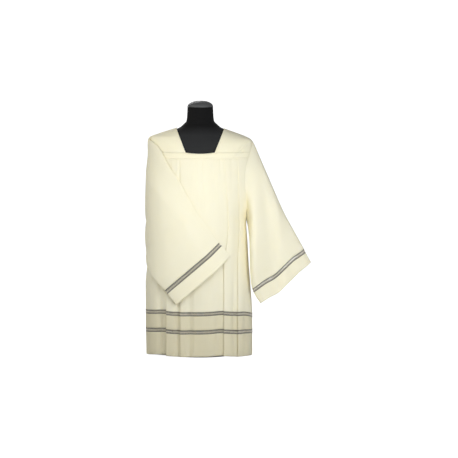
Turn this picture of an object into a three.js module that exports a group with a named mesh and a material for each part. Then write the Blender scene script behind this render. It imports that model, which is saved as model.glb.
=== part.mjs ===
// A surplice on a limbless dress form, in millimetres, +Z up, facing -Y, with the wearer's right at -X.
// The cloth is cut as straps, yoke bands, pleated front and back, hem bands, sleeves and cuffs. Every piece
// is a thin wall of its own, a seam's gap from its neighbours, and lace is let in between the bands.
import * as THREE from "three";

// ---- Driving dimensions ----------------------------------------------------------------------------------
const CLOTH = 1.4; // wall of the cloth
const LACE = 1.0; // wall of the lace insertions
const SEAM = 0.3; // gap left between two pieces that are sewn together
const FLOOR_GAP = 6; // from the floor to the hem
const LACE_WIDTH = 18.5;
const LACE_LOWER = 110.5; // middle of the lower lace above the hem
const LACE_UPPER = 192; // middle of the upper lace above the hem
const YOKE_SEAM = 892; // height of the seam between the yoke bands and the pleated panels
const BAND = 28; // height of a yoke band
const NECK_TOP = 107; // half width of the neck opening on the shoulder line
const NECK_FRONT = 65; // half width of the neck opening at its front corners
const NECK_BACK = 78; // the same at its back corners
const NECK_SAG = 5; // how far the front neck edge dips between its corners
const UNDERARM = 607; // height of the lowest point of both armholes
const ARMHOLE_HALF_DEPTH = 75;
const TIP = { right: 985, left: 967 }; // height of the armholes' highest points, at the shoulder tips
const POST_RADIUS = 17;
const BASE = { radius: 135, height: 16, hub: 30, hubHeight: 34 };

const DEG = Math.PI / 180;
const mix = (a, b, share) => a + (b - a) * share;
const clamp01 = (v) => Math.min(1, Math.max(0, v));
const ease = (v) => clamp01(v) ** 2 * (3 - 2 * clamp01(v));

// One column of a table at a place between its rows, as a smooth curve with no overshoot.
function read(table, key, at, column) {
  const rows = table[0][key] < table[table.length - 1][key] ? table : [...table].reverse();
  const last = rows.length - 1;
  let i = 0;
  while (i < last - 1 && at > rows[i + 1][key]) i += 1;
  const step = (j) => rows[j + 1][key] - rows[j][key];
  const rate = (j) => (rows[j + 1][column] - rows[j][column]) / step(j);
  const slope = (j) => {
    if (j === 0) return rate(0);
    if (j === last) return rate(last - 1);
    const [before, after] = [rate(j - 1), rate(j)];
    return before * after <= 0 ? 0 : (2 * before * after) / (before + after);
  };
  const [h, u] = [step(i), clamp01((at - rows[i][key]) / step(i))];
  const [u2, u3] = [u * u, u * u * u];
  return (
    (2 * u3 - 3 * u2 + 1) * rows[i][column] +
    (u3 - 2 * u2 + u) * h * slope(i) +
    (3 * u2 - 2 * u3) * rows[i + 1][column] +
    (u3 - u2) * h * slope(i + 1)
  );
}

// ---- The smooth shape that the cloth hangs in ------------------------------------------------------------
// Plan sections by height: half widths on the wearer's right and left, depths in front and behind, and how
// square the section is (2 is an ellipse).
const DRAPE = [
  { z: 1028, right: 97, left: 91, front: 65, back: 68, square: 2 },
  { z: 1022, right: 114, left: 104.5, front: 67.5, back: 70, square: 2 },
  { z: 1010, right: 154, left: 137, front: 74, back: 77, square: 2 },
  { z: 998, right: 190, left: 171, front: 82, back: 85, square: 2 },
  { z: 985, right: 222, left: 204, front: 91, back: 94, square: 2 },
  { z: 972, right: 226, left: 227, front: 99, back: 100, square: 2 },
  { z: 957, right: 225, left: 236, front: 107, back: 106, square: 2 },
  { z: 922, right: 222, left: 238, front: 120, back: 115, square: 2 },
  { z: 892, right: 221, left: 238, front: 128, back: 120, square: 2 },
  { z: 792, right: 219, left: 238, front: 139, back: 127, square: 2 },
  { z: 692, right: 217, left: 226, front: 146, back: 132, square: 2.05 },
  { z: 607, right: 214, left: 206, front: 150, back: 136, square: 2.1 },
  { z: 512, right: 222, left: 212, front: 154, back: 140, square: 2.2 },
  { z: 392, right: 240, left: 219, front: 159, back: 145, square: 2.3 },
  { z: 322, right: 246, left: 225, front: 162, back: 148, square: 2.35 },
  { z: 192, right: 246, left: 234, front: 166, back: 152, square: 2.4 },
  { z: 2, right: 243, left: 234, front: 168, back: 154, square: 2.5 },
];
const drapeAt = (z, column) => read(DRAPE, "z", z, column);

// The point at a turn round the body (0 in front, -90 at the wearer's right, 180 behind), pushed out by out.
function drapePoint(turn, z, out = 0) {
  const [s, c] = [Math.sin(turn * DEG), Math.cos(turn * DEG)];
  const width = drapeAt(z, s < 0 ? "right" : "left") + out;
  const depth = drapeAt(z, c > 0 ? "front" : "back") + out;
  const power = 2 / drapeAt(z, "square");
  return new THREE.Vector3(
    Math.sign(s) * width * Math.abs(s) ** power,
    -Math.sign(c) * depth * Math.abs(c) ** power,
    z,
  );
}

// The depth of the shape at a place across it: face is -1 in front and 1 behind.
function drapeDepth(x, z, face) {
  const width = drapeAt(z, x < 0 ? "right" : "left");
  const square = drapeAt(z, "square");
  const depth = drapeAt(z, face < 0 ? "front" : "back");
  return face * depth * Math.max(0, 1 - (Math.abs(x) / width) ** square) ** (1 / square);
}

// The turn at which the front of the shape lies at a place across.
function turnAt(x, z) {
  const share = clamp01(Math.abs(x) / drapeAt(z, x < 0 ? "right" : "left"));
  return (Math.sign(x) * Math.asin(share ** (drapeAt(z, "square") / 2))) / DEG;
}

// The height of the shoulder line at a place across, found by halving.
function ridge(x) {
  const side = x < 0 ? "right" : "left";
  let [low, high] = [TIP[side], DRAPE[0].z];
  for (let i = 0; i < 40; i += 1) {
    const z = (low + high) / 2;
    if (drapeAt(z, side) > Math.abs(x)) low = z;
    else high = z;
  }
  return (low + high) / 2;
}

// The armhole is a pointed oval seen from the side. Its half depth at a height:
const ARMHOLE_POINT = 0.8; // 0.5 would be an ellipse
function armholeReach(side, z) {
  const half = (TIP[side] - UNDERARM) / 2;
  const up = (z - UNDERARM - half) / half;
  return ARMHOLE_HALF_DEPTH * Math.max(0, 1 - up * up) ** ARMHOLE_POINT;
}

// The turn at which an armhole's edge lies, or a side seam below the armhole.
function edgeTurn(side, z, face) {
  const reach = z < UNDERARM ? 0 : armholeReach(side, z);
  const share = (reach / drapeAt(z, face < 0 ? "front" : "back")) ** (drapeAt(z, "square") / 2);
  const fromFront = Math.acos(clamp01(share)) / DEG;
  return (side === "right" ? -1 : 1) * (face < 0 ? fromFront : 180 - fromFront);
}

// ---- Walls and solids from grids of points ---------------------------------------------------------------
// A closed mesh from a flat list of triangles' corners, turned to face out.
function solid(corners) {
  let volume = 0;
  const cross = new THREE.Vector3();
  for (let i = 0; i < corners.length; i += 3)
    volume += corners[i].dot(cross.crossVectors(corners[i + 1], corners[i + 2]));
  if (volume < 0)
    for (let i = 0; i < corners.length; i += 3) [corners[i], corners[i + 1]] = [corners[i + 1], corners[i]];
  return new THREE.BufferGeometry().setFromPoints(corners);
}

// Two triangles over a four-sided patch, split along its shorter diagonal.
const quad = (a, b, c, d) =>
  a.distanceToSquared(c) <= b.distanceToSquared(d) ? [a, b, c, a, c, d] : [a, b, d, b, c, d];

// A sheet of cloth: rows of points on its middle, thickened both ways. A tube's rows close on themselves.
function wall(rows, thickness, tube = false) {
  const [m, n] = [rows.length, rows[0].length];
  const column = (j) => (tube ? (j + n) % n : Math.min(n - 1, Math.max(0, j)));
  const row = (i) => Math.min(m - 1, Math.max(0, i));
  const skin = (share) =>
    rows.map((points, i) =>
      points.map((p, j) => {
        const across = points[column(j + 1)].clone().sub(points[column(j - 1)]);
        const down = rows[row(i + 1)][j].clone().sub(rows[row(i - 1)][j]);
        return p.clone().addScaledVector(across.cross(down).normalize(), thickness * share);
      }),
    );
  const [outer, inner] = [skin(0.5), skin(-0.5)];
  const corners = [];
  const spans = tube ? n : n - 1;
  for (let j = 0; j < spans; j += 1) {
    const k = column(j + 1);
    for (let i = 0; i < m - 1; i += 1) {
      corners.push(...quad(outer[i][j], outer[i][k], outer[i + 1][k], outer[i + 1][j]));
      corners.push(...quad(inner[i][j], inner[i + 1][j], inner[i + 1][k], inner[i][k]));
    }
    corners.push(...quad(outer[0][j], inner[0][j], inner[0][k], outer[0][k]));
    corners.push(...quad(outer[m - 1][j], outer[m - 1][k], inner[m - 1][k], inner[m - 1][j]));
  }
  for (let i = 0; i < m - 1 && !tube; i += 1) {
    corners.push(...quad(outer[i][0], outer[i + 1][0], inner[i + 1][0], inner[i][0]));
    corners.push(...quad(outer[i][n - 1], inner[i][n - 1], inner[i + 1][n - 1], outer[i + 1][n - 1]));
  }
  return solid(corners);
}

// A solid between closed rings, with a flat fan over each end.
function loft(rings) {
  const corners = [];
  const n = rings[0].length;
  const middle = (ring) => ring.reduce((sum, p) => sum.add(p), new THREE.Vector3()).divideScalar(n);
  const ends = [rings[0], rings[rings.length - 1]].map((ring) => [ring, middle(ring)]);
  for (let j = 0; j < n; j += 1) {
    const k = (j + 1) % n;
    for (let i = 0; i < rings.length - 1; i += 1)
      corners.push(...quad(rings[i][j], rings[i][k], rings[i + 1][k], rings[i + 1][j]));
    corners.push(ends[0][0][k], ends[0][0][j], ends[0][1]);
    corners.push(ends[1][0][j], ends[1][0][k], ends[1][1]);
  }
  return solid(corners);
}

// ---- Pleated panels --------------------------------------------------------------------------------------
// The plan curve of the drape at a height, from the wearer's right to the left, measured along itself.
function girth(z, face) {
  const STEPS = 90;
  const [from, to] = [edgeTurn("right", z, face), edgeTurn("left", z, face)];
  const turns = face < 0 ? [from, to] : [from, to - 360];
  const points = [];
  for (let i = 0; i <= STEPS; i += 1) points.push(drapePoint(mix(turns[0], turns[1], i / STEPS), z));
  const along = [0];
  for (let i = 1; i <= STEPS; i += 1) along.push(along[i - 1] + points[i].distanceTo(points[i - 1]));
  const find = (list, value) => {
    let i = 0;
    while (i < STEPS - 1 && list[i + 1] < value) i += 1;
    return [i, (value - list[i]) / (list[i + 1] - list[i])];
  };
  return {
    length: along[STEPS],
    atX(x) {
      const [i, share] = find(points.map((p) => p.x), x);
      return mix(along[i], along[i + 1], share);
    },
    point(distance, inset) {
      const [i, share] = find(along, distance);
      const ahead = points[i + 1].clone().sub(points[i]).normalize();
      const bend = (j) => {
        const [a, b] = [points[Math.max(0, j - 1)], points[Math.min(STEPS, j + 1)]];
        return new THREE.Vector3(b.y - a.y, a.x - b.x, 0).multiplyScalar(-face).normalize();
      };
      const normal = bend(i).lerp(bend(i + 1), clamp01(share)).normalize();
      return points[i].clone().addScaledVector(ahead, share * (along[i + 1] - along[i]))
        .addScaledVector(normal, inset);
    },
  };
}

// How a knife pleat's three layers lie by height: the pitch between layers and the length tucked under.
const PLEAT_FORM = [
  { z: 892, pitch: 2.3, tuck: 20 },
  { z: 752, pitch: 3.6, tuck: 18 },
  { z: 592, pitch: 5, tuck: 18 },
  { z: 392, pitch: 6.5, tuck: 24 },
  { z: 2, pitch: 7.5, tuck: 28 },
];
const PLEAT_HEIGHTS = { yoke: YOKE_SEAM, chest: 752, waist: 582, hip: 402, hem: FLOOR_GAP };

// Each pleat's folded edge: its place across at five heights, how open it lies there (0 is folded flat, 1 is
// pulled out smooth), and how much higher or lower the cloth hangs just before and after it.
const FRONT_PLEATS = [
  { yoke: -126, chest: -132, waist: -140, hip: -150, hem: -152, before: 9, after: 3, bow: 0, flat: 4 },
  { yoke: -88, chest: -88, waist: -88, hip: -88, hem: -88, before: -1, after: -0.5, bow: 0, flat: 1 },
  { yoke: 107, chest: 119, waist: 128, hip: 108, hem: 108, before: 5, after: 3, bow: -2, flat: 7 },
  { yoke: 170, chest: 174, waist: 178, hip: 171, hem: 172, before: -3, after: -2, bow: 0, flat: 1 },
];
const FRONT_OPEN = [
  { yoke: 0, chest: 0.15, waist: 0.3, hip: 0.1, hem: 0 },
  { yoke: 0, chest: 0.15, waist: 0.35, hip: 0.1, hem: 0 },
  { yoke: 0, chest: 0.45, waist: 0.7, hip: 0.15, hem: 0 },
  { yoke: 0, chest: 0.1, waist: 0.3, hip: 0.1, hem: 0 },
];
const BACK_PLEATS = [
  { yoke: -128, chest: -136, waist: -142, hip: -152, hem: -156, before: 4, after: 1, bow: -2, flat: 4 },
  { yoke: -52, chest: -54, waist: -56, hip: -62, hem: -66, before: -1, after: -2, bow: 0, flat: 2 },
  { yoke: 60, chest: 64, waist: 70, hip: 62, hem: 58, before: 2, after: 0, bow: -4, flat: 3 },
  { yoke: 136, chest: 140, waist: 138, hip: 132, hem: 136, before: -3, after: -1, bow: 0, flat: 1 },
];
const BACK_OPEN = [
  { yoke: 0, chest: 0.3, waist: 0.5, hip: 0.2, hem: 0.1 },
  { yoke: 0, chest: 0.2, waist: 0.35, hip: 0.15, hem: 0 },
  { yoke: 0, chest: 0.35, waist: 0.6, hip: 0.25, hem: 0.1 },
  { yoke: 0, chest: 0.2, waist: 0.4, hip: 0.1, hem: 0 },
];
const PANELS = {
  front: { face: -1, pleats: FRONT_PLEATS, open: FRONT_OPEN, startRise: -1, endRise: -3, lastFlat: 6 },
  back: { face: 1, pleats: BACK_PLEATS, open: BACK_OPEN, startRise: 1, endRise: -2, lastFlat: 5 },
};

// Soft troughs that run down the panels between the pleats. They fade out at their top and bottom.
const TROUGHS = {
  front: [
    { x: -52, lean: 0, top: 412, bottom: -208, width: 26, depth: 7 },
    { x: 86, lean: 0, top: 372, bottom: -208, width: 20, depth: 5 },
    { x: 14, lean: 4, top: 892, bottom: 592, width: 16, depth: 4 },
    { x: -196, lean: 0, top: 372, bottom: -208, width: 22, depth: 6 },
  ],
  back: [
    { x: 2, lean: 0, top: 692, bottom: -208, width: 30, depth: 9 },
    { x: -108, lean: 4, top: 412, bottom: -208, width: 22, depth: 6 },
    { x: 98, lean: -4, top: 512, bottom: -208, width: 22, depth: 6 },
  ],
};

function troughDepth(name, x, z) {
  return TROUGHS[name].reduce((sum, trough) => {
    const down = clamp01((trough.top - z) / (trough.top - trough.bottom));
    const across = (x - trough.x - trough.lean * down) / trough.width;
    return sum + trough.depth * Math.exp(-across * across) * Math.sin(Math.PI * down) ** 2;
  }, 0);
}

function atHeight(row, z) {
  const table = Object.keys(PLEAT_HEIGHTS).map((name) => ({ z: PLEAT_HEIGHTS[name], value: row[name] }));
  return read(table, "z", z, "value");
}

// The panels hang a little lower beside the left side seam, most of all at the upper lace.
const SIDE_DIP = { z: 198, spread: 70, width: 130, drop: 16 };
function sideDip(z, fromSeam) {
  const { z: level, spread, width, drop } = SIDE_DIP;
  return drop * Math.exp(-(((z - level) / spread) ** 2)) * ease(1 - fromSeam / width);
}

const RAMP = { length: 60, steps: 3, clear: 5 }; // where a panel dips to pass under the next fold

// The stations across a panel at a height: distance along the plan curve, inset and rise of the cloth.
function stations(name, z, curve) {
  const { pleats, open, startRise, endRise, lastFlat } = PANELS[name];
  const [pitch, tuck] = ["pitch", "tuck"].map((column) => read(PLEAT_FORM, "z", z, column));
  const list = [];
  let [start, hidden, lift] = [0, 14, startRise];
  const span = (from, to, steps, inset, rises) => {
    for (let i = 0; i < steps; i += 1) {
      const at = mix(from, to, i / steps);
      list.push({ at, inset: inset(i / steps), rise: rises(at) });
    }
  };
  pleats.forEach((pleat, index) => {
    const fold = curve.atX(atHeight(pleat, z));
    const loose = atHeight(open[index], z);
    const reach = mix(tuck, 4, loose);
    const gap = pitch * mix(1, 0.7, loose);
    const dip = fold - RAMP.clear;
    const brink = Math.max(start + hidden, dip - RAMP.length);
    const share = (at) => clamp01((at - start) / (fold - start));
    const rises = (at) => mix(lift, pleat.before, share(at)) + pleat.bow * 4 * share(at) * (1 - share(at));
    span(start, brink, pleat.flat, () => 0, rises);
    span(brink, dip, RAMP.steps, (u) => -2 * gap * ease(u), rises);
    list.push({ at: dip, inset: -2 * gap, rise: pleat.before });
    const layers = [
      [reach, -2],
      [reach + gap / 2, -1.5],
      [reach, -1],
      [0, -1],
      [-gap / 2, -0.5],
      [0, 0],
    ];
    layers.forEach(([beyond, depth], i) => {
      const rise = mix(pleat.before, pleat.after, i / (layers.length - 1));
      list.push({ at: fold + beyond, inset: depth * gap, rise });
    });
    start = list[list.length - 1].at;
    list.pop();
    hidden = reach + gap / 2 + 6;
    lift = pleat.after;
  });
  const lastRises = (at) => mix(lift, endRise, (at - start) / (curve.length - start));
  span(start, curve.length, lastFlat, () => 0, lastRises);
  list.push({ at: curve.length, inset: 0, rise: endRise });
  return list;
}

// A pleated panel's points at a height. The rise grows down the panel, from nothing at the chest.
function panelRow(name, z) {
  const { face } = PANELS[name];
  const curve = girth(z, face);
  const list = stations(name, z, curve);
  const first = list[0].at + SEAM / 2;
  const last = curve.length - SEAM / 2;
  return list.map(({ at, inset, rise }, i) => {
    const place = i === 0 ? first : i === list.length - 1 ? last : at;
    const middle = curve.point(place, 0);
    const sides = ease(place / 40) * ease((curve.length - place) / 40);
    const point = curve.point(place, inset - troughDepth(name, middle.x, z) * sides);
    point.z = z + rise * ease((692 - z) / 400) - sideDip(z, curve.length - place);
    return point;
  });
}

const panelPiece = (name, heights, thickness) => wall(heights.map((z) => panelRow(name, z)), thickness);

// The heights at which the cloth is cut, from the hem up, and the rows of the panel above the lace.
const LOWER = FLOOR_GAP + LACE_LOWER;
const UPPER = FLOOR_GAP + LACE_UPPER;
const HALF_LACE = LACE_WIDTH / 2;
const ARMHOLE_ROWS = [842, 792, 742, 692, 654, 628, 613];
const BODY_ROWS = [YOKE_SEAM - SEAM, ...ARMHOLE_ROWS, 592, 532, 462, 392, 322, 252,
  UPPER + HALF_LACE + SEAM / 2];
const CUTS = {
  upper_lace: [UPPER + HALF_LACE - SEAM / 2, UPPER - HALF_LACE + SEAM / 2],
  band: [UPPER - HALF_LACE - SEAM / 2, LOWER + HALF_LACE + SEAM / 2],
  lower_lace: [LOWER + HALF_LACE - SEAM / 2, LOWER - HALF_LACE + SEAM / 2],
  hem: [LOWER - HALF_LACE - SEAM / 2, FLOOR_GAP],
};

// ---- Yoke: a strap over each shoulder, and a band across the front and the back --------------------------
const NECK_BOTTOM = YOKE_SEAM + BAND;
const STRAP_ROWS = [1, 0.75, 0.5, 0.3, 0.15, 0.06, 0.015]; // shares of the way down from the shoulder line
const STRAP_COLUMNS = [0, 0.2, 0.4, 0.6, 0.8, 0.93, 1];

// An armhole edge's height at a share of the way down the strap.
const strapEdge = (side, share) => mix(TIP[side], NECK_BOTTOM, share);

function strapPoint(side, across, share, face) {
  const sign = side === "right" ? -1 : 1;
  const neck = mix(NECK_TOP, face < 0 ? NECK_FRONT : NECK_BACK, share);
  const edge = Math.abs(drapePoint(edgeTurn(side, strapEdge(side, share), face), strapEdge(side, share)).x);
  const top = ridge(sign * mix(NECK_TOP, Math.abs(drapePoint(sign * 90, TIP[side]).x), across));
  const x = sign * mix(neck, edge, across);
  const z = mix(top, NECK_BOTTOM + SEAM / 2, share);
  return new THREE.Vector3(x, share === 0 ? 0 : drapeDepth(x, z, face), z);
}

function strap(side) {
  const level = (share, face) => STRAP_COLUMNS.map((s) => strapPoint(side, s, share, face));
  const down = (face) => STRAP_ROWS.map((share) => level(share, face));
  return wall([...down(-1), level(0, -1), ...down(1).reverse()], CLOTH);
}

// A yoke band's row: level, but for the dip of the neck edge.
function bandRow(face, z, sag) {
  const STEPS = 20;
  const row = [];
  for (let i = 0; i <= STEPS; i += 1) {
    const turns = ["right", "left"].map((side) => edgeTurn(side, z, face));
    const turn = mix(turns[0], face < 0 ? turns[1] : turns[1] - 360, i / STEPS);
    const point = drapePoint(turn, z);
    const half = face < 0 ? NECK_FRONT : NECK_BACK;
    point.z -= sag * Math.max(0, 1 - (point.x / half) ** 2);
    row.push(point);
  }
  return row;
}

const yokeBand = (face) => {
  const [top, bottom] = [NECK_BOTTOM - SEAM / 2, YOKE_SEAM];
  return wall([bandRow(face, top, NECK_SAG), bandRow(face, (top + bottom) / 2, NECK_SAG / 2),
    bandRow(face, bottom, 0)], CLOTH);
};

// ---- Sleeves ---------------------------------------------------------------------------------------------
// A sleeve is a tube between the armhole and the cuff. Each row of its table is a section: the fold along its
// top, the fold along its underarm, and how far its two layers stand apart.
// The left sleeve hangs out from the shoulder, and its sections are places in the part's own frame.
const LEFT_SLEEVE = [
  { t: 0, topX: 231, topY: 0, topZ: TIP.left, lowX: 206, lowY: 0, lowZ: UNDERARM, apart: 150 },
  { t: 0.06, topX: 242, topY: -1, topZ: 947, lowX: 212, lowY: -6, lowZ: 582, apart: 140 },
  { t: 0.25, topX: 282, topY: -3, topZ: 856, lowX: 219, lowY: -46, lowZ: 512, apart: 112 },
  { t: 0.45, topX: 327, topY: -6, topZ: 750, lowX: 221, lowY: -66, lowZ: 434, apart: 90 },
  { t: 0.65, topX: 375, topY: -9, topZ: 642, lowX: 223, lowY: -76, lowZ: 370, apart: 72 },
  { t: 0.8, topX: 423, topY: -11, topZ: 554, lowX: 227, lowY: -80, lowZ: 326, apart: 60 },
  { t: 0.885, topX: 464, topY: -12, topZ: 479, lowX: 232, lowY: -82, lowZ: 306, apart: 52 },
  { t: 0.912, topX: 472, topY: -12, topZ: 462, lowX: 238, lowY: -80, lowZ: 289, apart: 50 },
  { t: 1, topX: 496, topY: -13, topZ: 419, lowX: 268, lowY: -84, lowZ: 240, apart: 46 },
];
// The right sleeve lies across the front, so its sections are turns round the body, heights, and the
// distance that its inner layer stands off the panels.
const RIGHT_SLEEVE = [
  { t: 0, topTurn: -90, topZ: TIP.right, topOff: 2, lowTurn: -90, lowZ: UNDERARM, lowOff: 2, apart: 0 },
  { t: 0.015, topTurn: -82, topZ: 978, topOff: 3, lowTurn: -90, lowZ: 603, lowOff: 9, apart: 11 },
  { t: 0.03, topTurn: -69, topZ: 966, topOff: 4, lowTurn: -90, lowZ: 598, lowOff: 15, apart: 13 },
  { t: 0.05, topTurn: -58, topZ: 952, topOff: 5, lowTurn: -89.5, lowZ: 591, lowOff: 19, apart: 14 },
  { t: 0.1, topTurn: -50, topZ: 925, topOff: 5, lowTurn: -88.5, lowZ: 577, lowOff: 22, apart: 15 },
  { t: 0.22, topTurn: -38.5, topZ: 860, topOff: 5, lowTurn: -86, lowZ: 547, lowOff: 20, apart: 18 },
  { t: 0.35, topTurn: -24.5, topZ: 789, topOff: 6, lowTurn: -83.5, lowZ: 507, lowOff: 14, apart: 20 },
  { t: 0.5, topTurn: -11.5, topZ: 704, topOff: 6, lowTurn: -79, lowZ: 457, lowOff: 7, apart: 18 },
  { t: 0.65, topTurn: 0, topZ: 635, topOff: 7, lowTurn: -71, lowZ: 417, lowOff: 7, apart: 18 },
  { t: 0.78, topTurn: 11.5, topZ: 569, topOff: 7, lowTurn: -57, lowZ: 374, lowOff: 8, apart: 18 },
  { t: 0.885, topTurn: 20.5, topZ: 518, topOff: 7, lowTurn: -33, lowZ: 304, lowOff: 9, apart: 16 },
  { t: 0.912, topTurn: 24, topZ: 503, topOff: 7, lowTurn: -29.5, lowZ: 289, lowOff: 9, apart: 16 },
  { t: 1, topTurn: 35.5, topZ: 457, topOff: 8, lowTurn: -19.7, lowZ: 242, lowOff: 9, apart: 16 },
];
const LACE_SPAN = { from: 0.885, to: 0.912 }; // where the lace is let in along both sleeves
const SETTLE = 0.35; // how far down a sleeve the armhole's own shape has died away
const SEAM_LAP = 1.7; // how far a sleeve's head stands off the edge that it is sewn to
const CUFF_BOW = 8; // how far the left cuff's edge sags between its two folds

// The places round a sleeve: the shoulder tip, down the front edge of the armhole, the underarm, and up the
// back edge. down is the share of the way from the tip to the underarm.
function sleeveRing(side) {
  const heights = [...STRAP_ROWS.slice(1, -1).reverse().map((share) => strapEdge(side, share)),
    NECK_BOTTOM, YOKE_SEAM, ...ARMHOLE_ROWS.slice(0, -1)];
  const down = (z) => (TIP[side] - z) / (TIP[side] - UNDERARM);
  return [
    { z: TIP[side], down: 0, face: 0 },
    ...heights.map((z) => ({ z, down: down(z), face: -1 })),
    { z: UNDERARM, down: 1, face: 0 },
    ...heights.map((z) => ({ z, down: down(z), face: 1 })).reverse(),
  ];
}

// How far a section's layers part at a place down it: the armhole's oval, then flatter towards the cuff.
function bulge(down, share) {
  return Math.max(0, 1 - Math.abs(2 * down - 1) ** mix(2, 4, share)) ** mix(ARMHOLE_POINT, 0.25, share);
}

// Long soft folds down the left sleeve's front: their place at the shoulder and the cuff, and how far each
// stands out and sags. They die away at the sleeve's two edges.
const SLEEVE_FOLDS = [
  { head: 0.45, cuff: 1.1, width: 0.2, out: 9, sag: 0 },
  { head: 0, cuff: 0.63, width: 0.15, out: -9, sag: 11 },
  { head: -0.55, cuff: 0.52, width: 0.1, out: 5, sag: 0 },
  { head: 0.1, cuff: 0.22, width: 0.1, out: 2, sag: -4 },
];

function leftSleevePoint({ z, down, face }, t) {
  const place = (column) => read(LEFT_SLEEVE, "t", t, column);
  const point = new THREE.Vector3(
    mix(place("topX"), place("lowX"), down),
    mix(place("topY"), place("lowY"), down) + (face * place("apart") * bulge(down, ease(t / SETTLE))) / 2,
    mix(place("topZ"), place("lowZ"), down),
  );
  const first = LEFT_SLEEVE[0];
  const seam = drapePoint(face === 0 ? 90 : edgeTurn("left", z, face), z);
  point.x += (seam.x - mix(first.topX, first.lowX, down)) * (1 - ease(t / SETTLE));
  for (const fold of SLEEVE_FOLDS) {
    const across = (down - mix(fold.head, fold.cuff, t)) / fold.width;
    const share = Math.exp(-across * across) * ease(t / 0.5);
    const within = ease(down / 0.08) * ease((1 - down) / 0.12);
    point.y -= fold.out * share * within * (face < 0 ? 1 : -0.4);
    point.z -= fold.sag * share;
  }
  point.x += SEAM_LAP;
  point.z -= CUFF_BOW * ease((t - LACE_SPAN.to) / (1 - LACE_SPAN.to)) * 4 * down * (1 - down);
  return point;
}

// The share along the right sleeve at which one of its folds reaches a height, found by halving.
function shareAt(column, z) {
  let [low, high] = [0, 1];
  for (let i = 0; i < 30; i += 1) {
    const t = (low + high) / 2;
    if (read(RIGHT_SLEEVE, "t", t, column) > z) low = t;
    else high = t;
  }
  return (low + high) / 2;
}

// Both layers run level from the armhole's edge, or from the underarm fold below it, to the top fold or the
// cuff. The inner layer folds back over the front panel, and the outer one comes round the side from behind.
function rightSleevePoint({ down, face }, t) {
  const place = (column, at = t) => read(RIGHT_SLEEVE, "t", at, column);
  const z = mix(place("topZ"), place("lowZ"), down);
  const near = z >= UNDERARM ? 0 : shareAt("lowZ", z);
  const nearTurn = z >= UNDERARM ? edgeTurn("right", z, face || 1) : place("lowTurn", near);
  const cuff = (place("topZ", 1) - z) / (place("topZ", 1) - place("lowZ", 1));
  const far = cuff > 0 ? 1 : shareAt("topZ", z);
  const farTurn = cuff > 0 ? mix(place("topTurn", 1), place("lowTurn", 1), cuff) : place("topTurn", far);
  const share = far - near < 1e-6 ? 1 : clamp01((t - near) / (far - near));
  const topX = drapePoint(place("topTurn"), place("topZ")).x;
  const lowX = drapePoint(place("lowTurn"), place("lowZ")).x;
  const slanted = mix(place("topTurn"), place("lowTurn"), down);
  const flat = mix(slanted, turnAt(mix(topX, lowX, down), z), ease((t - 0.68) / 0.14));
  const straight = down === 0 || down === 1 ? 1 : ease((t - 0.45) / 0.4);
  const turn = mix(mix(nearTurn, farTurn, share), flat, straight);
  const part = (place("apart") / 2) * (1 + face * bulge(down, ease(t / 0.012)));
  return drapePoint(turn, z, mix(place("topOff"), place("lowOff"), down) + part);
}

function sleevePiece(side, from, to, steps, thickness) {
  const ring = sleeveRing(side);
  const pointOf = side === "left" ? leftSleevePoint : rightSleevePoint;
  const rows = steps.map((step) => ring.map((place) => pointOf(place, mix(from, to, step))));
  return wall(rows, thickness, true);
}

// ---- Dress form and stand --------------------------------------------------------------------------------
// Plan sections of the torso and neck: half width, depths in front and behind, and the middle's place in Y.
const FORM = [
  { z: 1118, half: 57.5, front: 57, back: 57, y: -3, square: 2 },
  { z: 1077, half: 59.5, front: 57.5, back: 57.5, y: -1, square: 2 },
  { z: 1055, half: 62.5, front: 58.5, back: 59, y: 0, square: 2 },
  { z: 1039, half: 77, front: 60.5, back: 62, y: 0, square: 2 },
  { z: 1029, half: 88, front: 62.5, back: 65, y: 0, square: 2 },
  { z: 1022, half: 100.5, front: 65, back: 67.5, y: 0, square: 2 },
  { z: 1010, half: 131, front: 71, back: 74, y: 0, square: 2 },
  { z: 998, half: 161, front: 79, back: 82, y: 0, square: 2 },
  { z: 985, half: 189, front: 88, back: 91, y: 0, square: 2 },
  { z: 972, half: 206, front: 96, back: 97, y: 0, square: 2 },
  { z: 954, half: 212, front: 104, back: 102, y: 0, square: 2 },
  { z: 927, half: 208, front: 112, back: 107, y: 0, square: 2 },
  { z: 892, half: 196, front: 118, back: 110, y: 0, square: 2 },
  { z: 852, half: 184, front: 122, back: 111, y: 0, square: 2.1 },
  { z: 792, half: 174, front: 122, back: 108, y: 0, square: 2.15 },
  { z: 712, half: 164, front: 111, back: 99, y: 0, square: 2.15 },
  { z: 632, half: 156, front: 102, back: 95, y: 0, square: 2.1 },
  { z: 552, half: 164, front: 106, back: 102, y: 0, square: 2.1 },
  { z: 472, half: 173, front: 112, back: 109, y: 0, square: 2.1 },
  { z: 422, half: 170, front: 111, back: 108, y: 0, square: 2.1 },
  { z: 410, half: 160, front: 102, back: 99, y: 0, square: 2.1 },
];
const FORM_SIDES = 36;
const FORM_BOTTOM = FORM[FORM.length - 1].z;
const NECK_END = FORM[0].z;

function formRing({ z, half, front, back, y, square }) {
  const ring = [];
  for (let i = 0; i < FORM_SIDES; i += 1) {
    const [s, c] = [Math.sin((i / FORM_SIDES) * 2 * Math.PI), Math.cos((i / FORM_SIDES) * 2 * Math.PI)];
    const depth = c > 0 ? front : back;
    ring.push(new THREE.Vector3(
      Math.sign(s) * half * Math.abs(s) ** (2 / square),
      y - Math.sign(c) * depth * Math.abs(c) ** (2 / square),
      z,
    ));
  }
  return ring;
}

// A solid of revolution about Z from a profile of [radius, height] pairs that starts and ends on the axis.
function turned(profile, sides) {
  const points = profile.map(([radius, height]) => new THREE.Vector2(radius, height));
  return new THREE.LatheGeometry(points, sides).rotateX(Math.PI / 2);
}

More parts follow.
